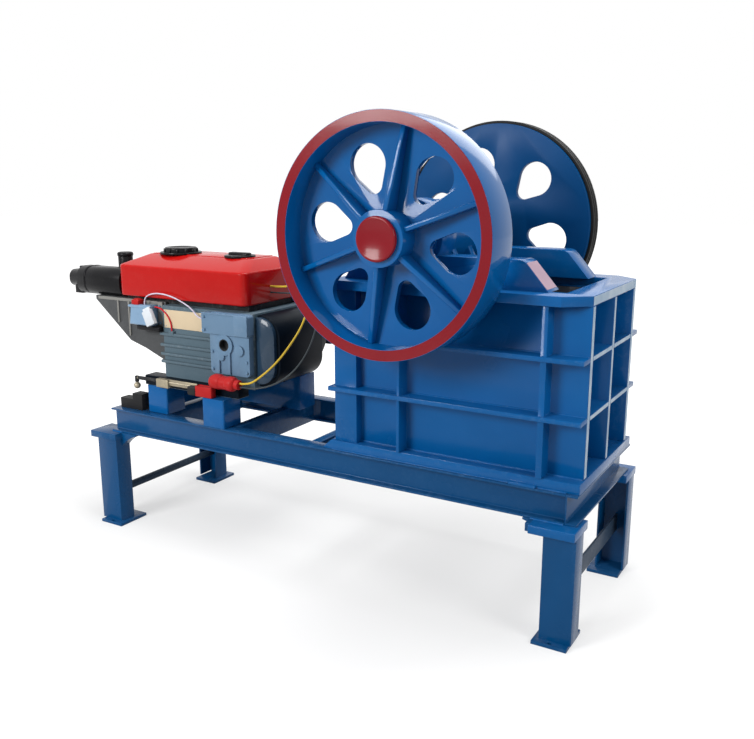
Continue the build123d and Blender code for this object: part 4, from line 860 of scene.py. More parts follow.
@dataclass(frozen=True)
class Studio:
    """The floor, the lights and the camera."""

    floor_size: float = 60.0
    floor_drop: float = 0.0005
    floor_grey: float = 0.4
    floor_roughness: float = 0.9
    glow_start: float = 1.3
    glow_end: float = 3.6
    near_glow: float = 0.55
    seen_strength: float = 1.0
    world_strength: float = 0.42
    target: Point = (0.0, 0.0, 1.0)
    lamps: tuple[SoftBox, ...] = (
        SoftBox("key_softbox", (-2.0, -5.8, 3.4), 2.2, 330.0),
        SoftBox("right_softbox", (5.5, -1.5, 3.6), 2.0, 110.0),
        SoftBox("top_softbox", (0.5, 0.5, 6.5), 3.0, 260.0),
        SoftBox("back_softbox", (0.3, 4.2, 4.2), 2.6, 34.0),
    )
    sensor: float = 36.0
    focal_length: float = 40.91
    camera_place: Point = (927.5, -3512.0, 1877.9)
    camera_tilt: float = math.radians(90 - 12.99)
    camera_turn: float = math.radians(30.49)

    def build(self) -> None:
        """Sets up the whole studio."""
        self._floor()
        self._lights()
        self._camera()
        bpy.context.scene.view_settings.view_transform = "Standard"

    def _seen_strength(self, tree: bpy.types.NodeTree, lit: float) -> bpy.types.NodeSocket:
        """Gives full strength to what the camera sees and another to what lights the object.

        Args:
            tree: The tree that it joins.
            lit: The strength that lights the object.

        Returns:
            The strength to use.
        """
        path = add_node(tree, "LightPath", {})
        through = add_node(tree, "Math", {0: path["Is Camera Ray"], 1: path["Is Transmission Ray"]},
                           operation="MAXIMUM")
        viewed = add_node(tree, "Math", {0: through[0], 1: path["Is Glossy Ray"]}, operation="MAXIMUM")
        return add_node(tree, "MapRange", {"Value": viewed[0], "To Min": lit,
                                           "To Max": self.seen_strength})["Result"]

    def _floor(self) -> None:
        """Lays the plain pale floor and sets the pale world."""
        Bench.clear()
        bpy.ops.mesh.primitive_plane_add(size=self.floor_size, location=(0.0, 0.0, -self.floor_drop))
        floor = bpy.context.object
        floor.name = "studio_floor"
        material = bpy.data.materials.new("pale_floor")
        material.use_nodes = True
        tree = material.node_tree
        seen = self._seen_strength(tree, 0.0)
        strength = add_node(tree, "Math", {0: seen, 1: self._far_glow(tree)}, operation="MULTIPLY")
        fill(tree, tree.nodes["Principled BSDF"], {
            "Base Color": (self.floor_grey, self.floor_grey, self.floor_grey, 1),
            "Roughness": self.floor_roughness,
            "Specular IOR Level": 0.0,
            "Emission Color": (1, 1, 1, 1),
            "Emission Strength": strength[0],
        })
        floor.data.materials.append(material)
        world = bpy.data.worlds.new("pale_world")
        world.use_nodes = True
        tree = world.node_tree
        fill(tree, tree.nodes["Background"], {
            "Color": (1, 1, 1, 1),
            "Strength": self._seen_strength(tree, self.world_strength),
        })
        bpy.context.scene.world = world

    def _far_glow(self, tree: bpy.types.NodeTree) -> bpy.types.NodeSocket:
        """Lifts the floor to plain white away from the object, so that no horizon shows.

        Args:
            tree: The floor's tree.

        Returns:
            The strength of the glow.
        """
        place = add_node(tree, "TexCoord", {})["Object"]
        reach = add_node(tree, "VectorMath", {0: place}, operation="LENGTH")["Value"]
        return add_node(tree, "MapRange", {"Value": reach, "From Min": self.glow_start,
                                           "From Max": self.glow_end, "To Min": self.near_glow,
                                           "To Max": self.seen_strength})["Result"]

    def _lights(self) -> None:
        """Hangs soft boxes above, behind, to the left and to the right."""
        for lamp in self.lamps:
            lamp.hang(Vector(self.target))

    def _camera(self) -> None:
        """Stands the camera where the photograph was taken from."""
        lens = bpy.data.cameras.new("camera")
        lens.sensor_width = self.sensor
        lens.lens = self.focal_length
        camera = bpy.data.objects.new("camera", lens)
        bpy.context.scene.collection.objects.link(camera)
        camera.location = at(*self.camera_place)
        camera.rotation_euler = (self.camera_tilt, 0.0, self.camera_turn)
        bpy.context.scene.camera = camera


class Dresser:
    """Gives every piece of the frame rounded edges and its finish."""

    def __init__(self, frame: dict, effects: Effects) -> None:
        """Builds the materials for the frame's slots.

        Args:
            effects: The shared surface effects.
        """
        self.nodes = frame["nodes"]
        self.body_of = {name: Body(body) for body, names in frame["record"]["behaviour"]["bodies"].items()
                        for name in names}
        self.materials = {slot: finish.build(effects) for slot, finish in FINISHES.items()}

    def fit(self, piece: bpy.types.Object, slot: str, body: Body, *nodes: str) -> bpy.types.Object:
        """Finishes a piece, sets it on its body and lets it stand for its nodes.

        Args:
            piece: The modelled piece.
            slot: The material slot that it takes its finish from.
            body: The body that carries it.
            *nodes: The frame's nodes that it stands for.

        Returns:
            The same piece.
        """
        if not piece.data.materials:
            piece.data.materials.append(self.materials[slot])
        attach(piece, body.value)
        if nodes:
            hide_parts(*nodes)
        LOG.info("piece %s on %s", piece.name, body.value)
        return piece

    def fasten(self, piece: bpy.types.Object, slot: str) -> None:
        """Smooths a new piece, finishes it and sets it on the still frame."""
        self.fit(Bench.smooth(piece), slot, Body.FRAME)

    def twin(self, node: str, name: str) -> bpy.types.Object:
        """Copies a node's mesh as one clean skin of flat faces.

        Args:
            node: The frame's node.
            name: The copy's name.

        Returns:
            The copy, at the origin, with no finish yet.
        """
        Bench.take(self.nodes[node])
        bpy.ops.object.duplicate(linked=False)
        piece = bpy.context.object
        piece.parent = None
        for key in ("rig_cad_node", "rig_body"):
            if key in piece:
                del piece[key]
        piece.data.materials.clear()
        Bench.settle(piece, name)
        bpy.ops.mesh.customdata_custom_splitnormals_clear()
        Bench.pick(piece, lambda face: True)
        bpy.ops.mesh.remove_doubles(threshold=MERGE_DISTANCE)
        bpy.ops.mesh.dissolve_limited(angle_limit=FLAT_ANGLE)
        Bench.done()
        return piece

    def dress(self, node: str, slot: str, edge: float = 2.0) -> bpy.types.Object:
        """Stands a copy with rounded edges in a node's place.

        Args:
            node: The frame's node.
            slot: The material slot that it takes its finish from.
            edge: The radius of its edges, 0 for sharp ones.

        Returns:
            The dressed copy.
        """
        piece = self.twin(node, f"{node}_dressed")
        if edge > 0:
            Bench.bevel(piece, edge)
        Bench.smooth(piece)
        return self.fit(piece, slot, self.body_of[node], node)

    def dress_all(self, done: set[str]) -> None:
        """Dresses every node that no hand-made piece stands for.

        Args:
            done: The nodes that hand-made pieces stand for.
        """
        for slot, names in NODE_SLOTS.items():
            for node in names:
                if node in self.nodes and node not in done:
                    self.dress(node, slot)


class Side(Enum):
    """The two sides of the machine, with the direction in which a wheel's open side faces along Y."""

    NEAR = -1.0
    FAR = 1.0


@dataclass
class Flywheel:
    """One dished flywheel: rim, web with egg-shaped holes, tapering ribs and hub.

    Attributes:
        dresser: What finishes the pieces.
        side: The side of the machine that it stands on.
        node: The frame's node that it stands for.
        edge_y: The rim's inner edge.
        width: The rim's width.
        web_start: How far the web starts from the inner edge.
        hole_angle: The first hole's angle from +X towards +Z, in degrees.
    """

    dresser: Dresser
    side: Side
    node: str
    edge_y: float
    width: float
    web_start: float
    hole_angle: float
    radius: float = 488.0
    rim: float = 47.0
    web: float = 28.0
    hub_radius: float = 113.0
    hub_recess: float = 6.0
    rib_thickness: float = 22.0
    rib_hub_drop: float = 24.0
    rib_rim_drop: float = 72.0
    rib_round: float = 6.0
    rib_root: float = 5.0
    rib_bite: float = 1.0
    hole_big: tuple[float, float] = (82.0, 304.0)
    hole_small: tuple[float, float] = (38.0, 220.0)
    holes: int = 6
    sides: int = 160
    edge_round: float = 3.0
    ring_thickness: float = 1.6
    ring_margin: float = 1.5

    def build(self) -> set[str]:
        """Builds the wheel, and the near one's red ring.

        Returns:
            The nodes that it stands for.
        """
        wheel = self._dish()
        self._cut_holes(wheel)
        Bench.bevel(wheel, self.edge_round, segments=3)
        wheel = Bench.join(f"{self.node}_casting", [wheel, *self._ribs()])
        Bench.smooth(wheel)
        # The far wheel takes the darker copy of the blue, painted shade.
        paint = "wheel_blue" if self.side is Side.NEAR else "deep_blue"
        self.dresser.fit(wheel, paint, Body.ROTOR, self.node)
        if self.side is Side.NEAR:
            self._ring()
        return {self.node}

    def _y(self, depth: float) -> float:
        """Gives the place of a depth measured from the inner edge towards the open side."""
        return self.edge_y + self.side.value * depth

    def _spin(self, degrees: float) -> Matrix:
        """Gives a turn about the shaft, from +X towards +Z."""
        return Bench.turn(at(SHAFT_X, 0.0, SHAFT_Z), -math.radians(degrees), "Y")

    def _dish(self) -> bpy.types.Object:
        """Shapes rim, web and hub from one disc, by insets and extrusions from its open side.

        Returns:
            The wheel's disc, without its holes and ribs.
        """
        wheel = Bench.drum(self.node + "_disc", (SHAFT_X, self._y(self.width / 2), SHAFT_Z), Axis.Y,
                           self.radius, self.width, self.sides)
        open_depth = self.width - self.web_start - self.web
        step = self.radius - self.rim - self.hub_radius
        Bench.pick(wheel, lambda face: face.normal.y * self.side.value > FACING)
        Bench.inset(self.rim)
        Bench.extrude((0.0, -self.side.value * open_depth, 0.0))
        Bench.inset(step)
        Bench.extrude((0.0, self.side.value * (open_depth - self.hub_recess), 0.0))
        if self.web_start > 0:
            Bench.pick(wheel, lambda face: face.normal.y * self.side.value < -FACING)
            Bench.inset(self.rim)
            Bench.extrude((0.0, self.side.value * self.web_start, 0.0))
            Bench.inset(step)
            Bench.extrude((0.0, -self.side.value * self.web_start, 0.0))
        Bench.done()
        return wheel

    def _cut_holes(self, wheel: bpy.types.Object) -> None:
        """Cuts the egg-shaped holes, wide outwards and narrow towards the hub.

        Args:
            wheel: The disc to cut.
        """
        middle = self._y(self.web_start + self.web / 2)
        ends = [Bench.drum("hole_end", (SHAFT_X + place, middle, SHAFT_Z), Axis.Y, radius,
                           self.web * 3, 40)
                for radius, place in (self.hole_big, self.hole_small)]
        egg = Bench.join("hole_cutter", ends)
        Bench.pick(egg, lambda face: True)
        bpy.ops.mesh.convex_hull()
        Bench.done()
        for k in range(self.holes):
            cutter = Bench.copy(egg, "hole_cutter", self._spin(self.hole_angle + 360 / self.holes * k))
            Bench.cut(wheel, cutter)
        bpy.data.objects.remove(egg, do_unlink=True)

    def _ribs(self) -> list[bpy.types.Object]:
        """Builds one tapering rounded rib and its copies between the holes.

        Returns:
            The ribs.
        """
        inner = SHAFT_X + self.hub_radius - self.rib_root
        outer = SHAFT_X + self.radius - self.rim + self.rib_bite
        floor = self._y(self.web_start + self.web - self.rib_bite)
        crest = self._y(self.width - self.rib_hub_drop)
        low_y, high_y = sorted((floor, crest))
        half = self.rib_thickness / 2
        rib = Bench.block("rib", (inner, low_y, SHAFT_Z - half), (outer, high_y, SHAFT_Z + half))
        drop = self.rib_rim_drop - self.rib_hub_drop
        crest_m = at(0.0, crest, 0.0).y
        outer_m = at(outer, 0.0, 0.0).x
        Bench.pick_points(rib, lambda place: abs(place.y - crest_m) < MM and abs(place.x - outer_m) < MM)
        Bench.move((0.0, -self.side.value * drop, 0.0))
        Bench.done()
        Bench.bevel(rib, self.rib_round, segments=3)
        first = self.hole_angle + 180 / self.holes
        ribs = [Bench.copy(rib, "rib", self._spin(first + 360 / self.holes * k))
                for k in range(self.holes)]
        bpy.data.objects.remove(rib, do_unlink=True)
        return ribs

    def _ring(self) -> None:
        """Lays the red painted ring on the rim's front."""
        face = self._y(self.width)
        inner = self.radius - self.rim + self.ring_margin
        ring = Bench.drum("red_rim_ring", (SHAFT_X, face, SHAFT_Z), Axis.Y, self.radius - self.ring_margin,
                          self.ring_thickness, self.sides)
        cutter = Bench.drum("ring_cutter", (SHAFT_X, face, SHAFT_Z), Axis.Y, inner,
                            self.ring_thickness * 3, self.sides)
        Bench.cut(ring, cutter)
        Bench.bevel(ring, self.ring_thickness / 4, segments=1)
        Bench.smooth(ring)
        self.dresser.fit(ring, "red_paint", Body.ROTOR)


@dataclass
class HubCaps:
    """The glossy caps on both hubs."""

    dresser: Dresser
    radius: float = 90.0
    thickness: float = 22.0
    near_face: float = -600.0
    far_face: float = 674.0
    edge_round: float = 8.0
    rim_width: float = 12.0
    dish: float = 2.0

    def build(self) -> set[str]:
        """Builds both caps as one piece.

        Returns:
            The node that they stand for.
        """
        caps = [self._cap(Side.NEAR, self.near_face), self._cap(Side.FAR, self.far_face)]
        piece = Bench.join("hub_caps_pressed", caps)
        Bench.smooth(piece)
        self.dresser.fit(piece, "red_paint", Body.ROTOR, "hub_caps")
        return {"hub_caps"}

    def _cap(self, side: Side, face: float) -> bpy.types.Object:
        """Presses one cap: a thick disc with a rounded edge and a shallow dished face.

        Args:
            side: The side of the machine that it is on.
            face: The place of its seat along Y.

        Returns:
            The cap.
        """
        middle = face + side.value * self.thickness / 2
        cap = Bench.drum("hub_cap", (SHAFT_X, middle, SHAFT_Z), Axis.Y, self.radius, self.thickness, 96)
        Bench.pick(cap, lambda part: part.normal.y * side.value > FACING)
        Bench.inset(self.rim_width)
        Bench.inset(self.dish * 2)
        Bench.move((0.0, -side.value * self.dish, 0.0))
        Bench.done()
        return Bench.bevel(cap, self.edge_round, segments=5)


@dataclass
class TankHood:
    """The red tank and hood, its top sloped in on all sides, over a black block that paints the shade in
    the gap under it.
    """

    dresser: Dresser
    left: float = -2560.0
    right: float = -1700.0
    front: float = ENGINE_FRONT_Y
    back: float = 150.0
    crease_z: float = 1402.0
    insets: tuple[float, float, float, float] = (60.0, 100.0, 170.0, 40.0)
    corner: float = 38.0
    corner_steps: int = 9
    fold: float = 9.0
    fold_angle: float = math.radians(13)
    panel: Block = Block("filler_panel", (-2472.0, -118.0, HOOD_TOP_Z - 3.0),
                         (-1828.0, 92.0, HOOD_TOP_Z + 3.0), edge=2.4, steps=3)
    # A black block in the gap under the hood: painted shade.
    shade_block: Block = Block("hood_shade_block", (-2542.0, -252.0, CRANKCASE_TOP_Z + 1.0),
                        (-1718.0, 102.0, HOOD_BOTTOM_Z - 0.5))

    def build(self) -> set[str]:
        """Builds the hood, its raised filler panel and the black block of painted shade under it.

        Returns:
            The node that they stand for.
        """
        self.dresser.fit(self._shell(), "hood_red", Body.FRAME, "engine_hood")
        self.dresser.fasten(self.panel.rounded(), "hood_red")
        self.dresser.fasten(self.shade_block.rounded(), "black_iron")
        return {"engine_hood"}

    def _shell(self) -> bpy.types.Object:
        """Shapes the hood from one box, its top drawn up and in.

        Returns:
            The hood.
        """
        hood = Bench.block("tank_hood", (self.left, self.front, HOOD_BOTTOM_Z),
                           (self.right, self.back, self.crease_z))
        left_in, right_in, front_in, back_in = self.insets
        length = self.right - self.left
        width = self.back - self.front
        centre = at((self.left + self.right) / 2, (self.front + self.back) / 2, HOOD_TOP_Z)
        Bench.pick(hood, lambda face: face.normal.z > FACING)
        Bench.extrude((0.0, 0.0, HOOD_TOP_Z - self.crease_z))
        shrink = (1 - (left_in + right_in) / length, 1 - (front_in + back_in) / width, 1)
        bpy.ops.transform.resize(value=shrink, center_override=centre)
        Bench.move(((left_in - right_in) / 2, (front_in - back_in) / 2, 0.0))
        Bench.pick_edges(hood, lambda a, b: abs(a.z - b.z) > 10 * MM)
        Bench.round_picked(self.corner, self.corner_steps)
        Bench.bevel(hood, self.fold, segments=4, angle=self.fold_angle)
        return Bench.smooth(hood)


@dataclass
class FillerCaps:
    """The wide water cap and the smaller fuel cap on the hood."""

    dresser: Dresser
    y: float = -60.0
    wide_x: float = -2326.0
    wide_radius: float = 110.0
    wide_height: float = 36.0
    wide_sides: int = 72
    flange_share: float = 1 / 3
    crown_share: float = 0.78
    crown_rim_share: float = 0.3
    crown_fold_share: float = 0.1
    crown_dip: float = 4.0
    crown_round: float = 7.0
    grips: int = 12
    grip_radius: float = 8.0
    grip_share: float = 0.8
    small_x: float = -1922.0
    small_radius: float = 80.0
    small_height: float = 26.0
    small_sides: int = 64
    base_share: float = 0.5
    bar_half_length: float = 62.0
    bar_half_width: float = 22.0
    bar_round: float = 8.0

    def build(self) -> set[str]:
        """Builds both caps as one piece.

        Returns:
            The node that they stand for.
        """
        caps = Bench.smooth(Bench.join("filler_caps_moulded", [self._wide(), self._small()]))
        self.dresser.fit(caps, "black_plastic", Body.FRAME, "filler_caps")
        return {"filler_caps"}

    def _wide(self) -> bpy.types.Object:
        """Builds the wide cap: a flange, a domed crown and grips round it.

        Returns:
            The cap.
        """
        flange_height = self.wide_height * self.flange_share
        flange = Bench.drum("cap_flange", (self.wide_x, self.y, HOOD_TOP_Z + flange_height / 2), Axis.Z,
                            self.wide_radius, flange_height, self.wide_sides)
        Bench.bevel(flange, 3.0, segments=2)
        crown_radius = self.wide_radius * self.crown_share
        crown = Bench.drum("cap_crown", (self.wide_x, self.y, HOOD_TOP_Z + self.wide_height / 2), Axis.Z,
                           crown_radius, self.wide_height, self.wide_sides)
        Bench.pick(crown, lambda face: face.normal.z > FACING)
        Bench.inset(crown_radius * self.crown_rim_share)
        Bench.inset(crown_radius * self.crown_fold_share)
        Bench.move((0.0, 0.0, -self.crown_dip))
        Bench.done()
        Bench.bevel(crown, self.crown_round, segments=4)
        return Bench.join("wide_cap", [flange, crown, *self._grips(crown_radius)])

    def _grips(self, radius: float) -> list[bpy.types.Object]:
        """Sets one grip on the crown's side and copies it round.

        Args:
            radius: The crown's radius.

        Returns:
            The grips.
        """
        height = self.wide_height * self.grip_share
        grip = Bench.drum("cap_grip", (self.wide_x + radius, self.y, HOOD_TOP_Z + height / 2), Axis.Z,
                          self.grip_radius, height, 16)
        Bench.bevel(grip, 3.0, segments=2)
        centre = at(self.wide_x, self.y, 0.0)
        grips = [Bench.copy(grip, "cap_grip", Bench.turn(centre, math.tau * k / self.grips, "Z"))
                 for k in range(self.grips)]
        bpy.data.objects.remove(grip, do_unlink=True)
        return grips

    def _small(self) -> bpy.types.Object:
        """Builds the smaller cap with its raised grip bar.

        Returns:
            The cap.
        """
        base_height = self.small_height * self.base_share
        base = Bench.drum("small_cap_base", (self.small_x, self.y, HOOD_TOP_Z + base_height / 2), Axis.Z,
                          self.small_radius, base_height, self.small_sides)
        Bench.bevel(base, 4.0, segments=3)
        reach = self.bar_half_length
        half = self.bar_half_width
        bar = Bench.block("small_cap_bar", (self.small_x - reach, self.y - half, HOOD_TOP_Z + 2.0),
                          (self.small_x + reach, self.y + half, HOOD_TOP_Z + self.small_height))
        Bench.bevel(bar, self.bar_round, segments=3)
        return Bench.join("small_cap", [base, bar])


@dataclass
class AirCleaner:
    """The black air cleaner with its knob and strap, and the cap of the exhaust behind it."""

    dresser: Dresser
    y: float = -215.0
    half_width: float = 78.0
    height: float = 152.0
    round_edge: float = 5.0
    strap_x: float = -2838.0
    strap_width: float = 16.0
    strap_proud: float = 2.0
    strap_corner: float = 60.0
    strap_steps: int = 10
    knob: Drum = Drum("cleaner_knob", (-2925.0, -215.0, 1358.0), Axis.Z, 15.0, 20.0, sides=32,
                      edge=5.0, steps=3)
    cap: Drum = Drum("exhaust_cap", (-2715.0, -90.0, 1431.0), Axis.Z, 44.0, 28.0, edge=12.0, steps=5)

    def build(self) -> set[str]:
        """Dresses the cleaner and adds its strap, knob and exhaust cap.

        Returns:
            The node that they stand for.
        """
        self.dresser.dress("air_cleaner", "black_plastic", self.round_edge)
        parts = [self._strap(), self.knob.rounded(), self.cap.rounded()]
        self.dresser.fasten(Bench.join("air_cleaner_trim", parts), "black_plastic")
        return {"air_cleaner"}

    def _strap(self) -> bpy.types.Object:
        """Wraps one thin strap round the cleaner's body.

        Returns:
            The strap.
        """
        reach = self.half_width + self.strap_proud
        strap = Bench.block("cleaner_strap", (self.strap_x, self.y - reach, HEAD_TOP_Z + 0.5),
                            (self.strap_x + self.strap_width, self.y + reach,
                             HEAD_TOP_Z + self.height + self.strap_proud))
        Bench.pick_edges(strap, lambda a, b: abs(a.x - b.x) > MM)
        Bench.round_picked(self.strap_corner, self.strap_steps)
        return Bench.bevel(strap, 1.5, segments=2)


@dataclass
class EngineCasting:
    """The crankcase, gear cover and cylinder head with their bolts, ribs and dark rear cowl."""

    dresser: Dresser
    shroud: Block = Block("rear_shroud", (-1658.0, -264.0, 844.0), (-1528.0, 102.0, 1201.0),
                          edge=3.0, steps=3)
    shroud_corner: float = 110.0
    shroud_angle: float = math.radians(20)
    fan_cover: Block = Block("fan_cover", (-1656.0, -286.0, 862.0), (-1546.0, -262.0, 1192.0))
    fan_corner: float = 92.0
    fan_slope: float = 16.0
    fan_crown: float = 8.0
    corner_steps: int = 14
    column: tuple[Block, ...] = (
        Block("cover_column", (-1738.0, -352.0, 1102.0), (-1656.0, -345.0, 1203.0), edge=2.5),
        Block("cover_top_edge", (-1944.0, -350.0, 1197.0), (-1656.0, -344.0, 1204.5), edge=1.5),
    )
    head_ribs: tuple[Block, ...] = (
        Block("head_flange", (-2296.0, -288.0, 1090.0), (-2262.0, -274.0, 1220.0), edge=4.0),
        Block("head_top_edge", (-2740.0, -282.0, 1204.0), (-2300.0, -274.0, 1221.0), edge=3.0),
        Block("head_rib", (-2600.0, -281.0, 1085.0), (-2588.0, -274.0, 1205.0), edge=3.0),
        Block("head_rib", (-2520.0, -281.0, 1020.0), (-2508.0, -274.0, 1205.0), edge=3.0),
    )
    bolt: Fastener = Fastener(head=7.0, rise=6.0)
    bolt_places: tuple[Point, ...] = (
        (-1890.0, -334.0, 922.0), (-1676.0, -334.0, 922.0), (-1890.0, -334.0, 1010.0),
        (-1676.0, -334.0, 975.0), (-1928.0, -346.0, 1118.0), (-1928.0, -346.0, 1182.0),
        (-2279.0, -288.0, 1110.0), (-2279.0, -288.0, 1195.0),
    )
    bush: Drum = Drum("crank_bush", (-1810.0, -318.0, 1049.0), Axis.Y, 30.5, 50.0, edge=1.0)
    bush_wall: float = 5.0
    bush_depth: float = 32.0
    plate: Block = Block("cream_plate", (-2236.0, -305.0, 1094.0), (-1972.0, -300.5, 1188.0), edge=1.2)
    rivet: Fastener = Fastener(head=4.0, rise=2.0, sides=16)
    rivet_places: tuple[Point, ...] = (
        (-2224.0, -305.0, 1104.0), (-2224.0, -305.0, 1178.0),
        (-1984.0, -305.0, 1104.0), (-1984.0, -305.0, 1178.0),
    )
    # A black block over the engine's feet: painted shade under the crankcase.
    foot: Block = Block("feet_shade_block", (-2371.0, -331.0, 781.2), (-1739.0, -249.0, 832.0),
                        edge=4.0, steps=3)

    def build(self) -> set[str]:
        """Dresses the castings, adds what is cast or bolted on, and lays a black block of painted shade
        over the feet.

        Returns:
            The nodes that they stand for.
        """
        self.dresser.dress("engine_crankcase", "engine_grey", 5.0)
        self.dresser.dress("gear_cover", "cover_grey", 3.0)
        self.dresser.dress("cylinder_head", "head_grey", 9.0)
        self._cowl()
        self._joined("head_flanges", self.head_ribs, "head_edge")
        self.dresser.fit(self.bolt.row("cover_bolts", Way.FRONT, self.bolt_places), "cover_grey",
                         Body.FRAME)
        self._crank_hole()
        self.dresser.fasten(self.plate.rounded(), "cream_plate")
        self.dresser.fit(self.rivet.row("plate_rivets", Way.FRONT, self.rivet_places), "machined_steel",
                         Body.FRAME)
        self._joined("cover_column", self.column, "cover_grey")
        self.dresser.fasten(self.foot.rounded(), "rear_black")
        return {"engine_crankcase", "gear_cover", "cylinder_head"}

    def _joined(self, name: str, blocks: Sequence[Block], slot: str) -> None:
        """Sets several cast blocks on as one piece."""
        self.dresser.fasten(Bench.join(name, [block.rounded() for block in blocks]), slot)

    def _cowl(self) -> None:
        """Covers the rounded rear in its black shroud, with the dark blue fan cover on its front."""
        shroud = self._right_rounded(self.shroud, self.shroud_corner)
        Bench.bevel(shroud, self.shroud.edge, segments=self.shroud.steps, angle=self.shroud_angle)
        self.dresser.fasten(shroud, "rear_black")
        cover = self._right_rounded(self.fan_cover, self.fan_corner)
        Bench.pick(cover, lambda face: face.normal.y < -FACING)
        Bench.inset(self.fan_slope)
        Bench.move((0.0, -self.fan_crown, 0.0))
        Bench.done()
        self.dresser.fasten(cover, "dark_cowl")

    def _right_rounded(self, block: Block, radius: float) -> bpy.types.Object:
        """Makes a block whose two right-hand corners are rounded off.

        Args:
            block: The block's measures.
            radius: The radius of the two corners.

        Returns:
            The new piece.
        """
        piece = block.sharp()
        right = at(*block.high).x
        Bench.pick_edges(piece, lambda a, b: abs(a.y - b.y) > MM and min(a.x, b.x) > right - MM)
        Bench.round_picked(radius, self.corner_steps)
        return piece

    def _crank_hole(self) -> None:
        """Sinks the dark bush of the hand crank's hole."""
        bush = self.bush.sharp()
        Bench.pick(bush, lambda face: face.normal.y < -FACING)
        Bench.inset(self.bush_wall)
        Bench.extrude((0.0, self.bush_depth, 0.0))
        Bench.done()
        Bench.bevel(bush, self.bush.edge, segments=self.bush.steps)
        self.dresser.fasten(bush, "black_iron")


@dataclass
class FilterCorner:
    """The box filter with its red clip, white plug and dark clip."""

    dresser: Dresser
    rim: Block = Block("filter_rim", (-2452.0, -344.0, 1190.0), (-2296.0, -276.0, 1202.0),
                       edge=3.0, steps=3)
    clip: Block = Block("red_clip", (-2432.0, -336.0, 1203.0), (-2384.0, -290.0, 1228.0), edge=3.0)
    clip_step: tuple[float, float] = (8.0, 6.0)
    plug: Block = Block("white_plug", (-2322.0, -364.0, 1106.0), (-2262.0, -340.0, 1186.0), edge=3.0)
    plug_step: tuple[float, float] = (6.0, 14.0)
    plug_centre: Point = (-2292.0, -352.0, 1146.0)
    plug_lean: float = math.radians(-24)
    holder: Block = Block("dark_clip", (-2412.0, -332.0, 1070.0), (-2250.0, -276.0, 1096.0),
                          edge=7.0, steps=3)

    def build(self) -> set[str]:
        """Dresses the filter and sets the small parts round it.

        Returns:
            The node that it stands for.
        """
        self.dresser.dress("fuel_filter", "filter_blue", 2.5)
        self.dresser.fasten(self.rim.rounded(), "filter_blue")
        self.dresser.fasten(self._stepped(self.clip, self.clip_step), "red_rubber")
        self._plug()
        self.dresser.fasten(self.holder.rounded(), "black_plastic")
        return {"fuel_filter"}

    @staticmethod
    def _stepped(block: Block, step: tuple[float, float]) -> bpy.types.Object:
        """Makes a rounded block whose top rises in one step.

        Args:
            block: The block's measures.
            step: The step's inset and height.

        Returns:
            The new piece.
        """
        piece = block.sharp()
        width, rise = step
        Bench.pick(piece, lambda face: face.normal.z > FACING)
        Bench.inset(width)
        Bench.extrude((0.0, 0.0, rise))
        Bench.done()
        return Bench.bevel(piece, block.edge, segments=block.steps)

    def _plug(self) -> None:
        """Hangs the white plug aslant beside the filter."""
        plug = self._stepped(self.plug, self.plug_step)
        plug.matrix_world = Bench.turn(at(*self.plug_centre), self.plug_lean, "Y")
        self.dresser.fasten(Bench.settle(plug, self.plug.name), "white_plastic")


@dataclass
class StarterCorner:
    """The red boot with its clamp and cap, and the hand lever over the near blocks."""

    dresser: Dresser
    boot: tuple[Drum, ...] = (
        Drum("soft_boot", (-1800.0, -372.0, 868.0), Axis.X, 34.0, 152.0, sides=32, edge=20.0, steps=6),
        Drum("boot_knuckle", (-1748.0, -373.0, 868.0), Axis.X, 37.0, 62.0, sides=32, edge=22.0, steps=6),
        Drum("boot_bulge", (-1830.0, -372.0, 870.0), Axis.X, 38.0, 74.0, sides=32, edge=26.0, steps=6),
        Drum("boot_sleeve", (-1716.0, -372.0, 868.0), Axis.X, 24.0, 42.0, sides=32, edge=5.0, steps=3),
    )
    clamp: Block = Block("boot_clamp", (-1967.0, -395.0, 781.5), (-1860.0, -357.0, 839.0),
                         edge=6.0, steps=3)
    clamp_rim: float = 10.0
    clamp_dip: float = 8.0
    cap: Block = Block("terminal_cap", (-2021.0, -395.0, 781.5), (-1966.0, -357.0, 827.0),
                       edge=9.0, steps=4)
    sleeves: tuple[Drum, ...] = (
        Drum("lever_sleeve", (-2330.0, -345.0, 815.0), Axis.X, 10.0, 150.0, sides=24, edge=3.0),
        Drum("lever_elbow", (-2417.0, -345.0, 807.0), Axis.Z, 11.0, 34.0, sides=24, edge=5.0, steps=3),
    )
    strip: Block = Block("lever_strip", (-2180.0, -352.0, 800.0), (-1990.0, -344.0, 833.0), edge=3.0)

    def build(self) -> set[str]:
        """Builds boot and lever.

        Returns:
            The nodes that they stand for.
        """
        self._boot()
        self._lever()
        return {"cable_boot", "hand_lever"}

    def _boot(self) -> None:
        """Blows the soft boot up from four ringed bars and clamps it."""
        clamp = self.clamp.sharp()
        Bench.pick(clamp, lambda face: face.normal.z > FACING)
        Bench.inset(self.clamp_rim)
        Bench.move((0.0, 0.0, -self.clamp_dip))
        Bench.done()
        Bench.bevel(clamp, self.clamp.edge, segments=self.clamp.steps)
        rings = [ring.rounded() for ring in self.boot]
        piece = Bench.smooth(Bench.join("boot_and_clamp", [*rings, clamp]))
        self.dresser.fit(piece, "red_rubber", Body.FRAME, "cable_boot")
        self.dresser.fasten(self.cap.rounded(), "black_rubber")

    def _lever(self) -> None:
        """Builds the plated lever with its lug, its ball and its dark sleeve."""
        self.dresser.dress("hand_lever", "brass", 3.0)
        parts = [sleeve.rounded() for sleeve in self.sleeves]
        self.dresser.fasten(Bench.join("lever_sleeves", parts), "black_iron")
        self.dresser.fasten(self.strip.rounded(), "brass")


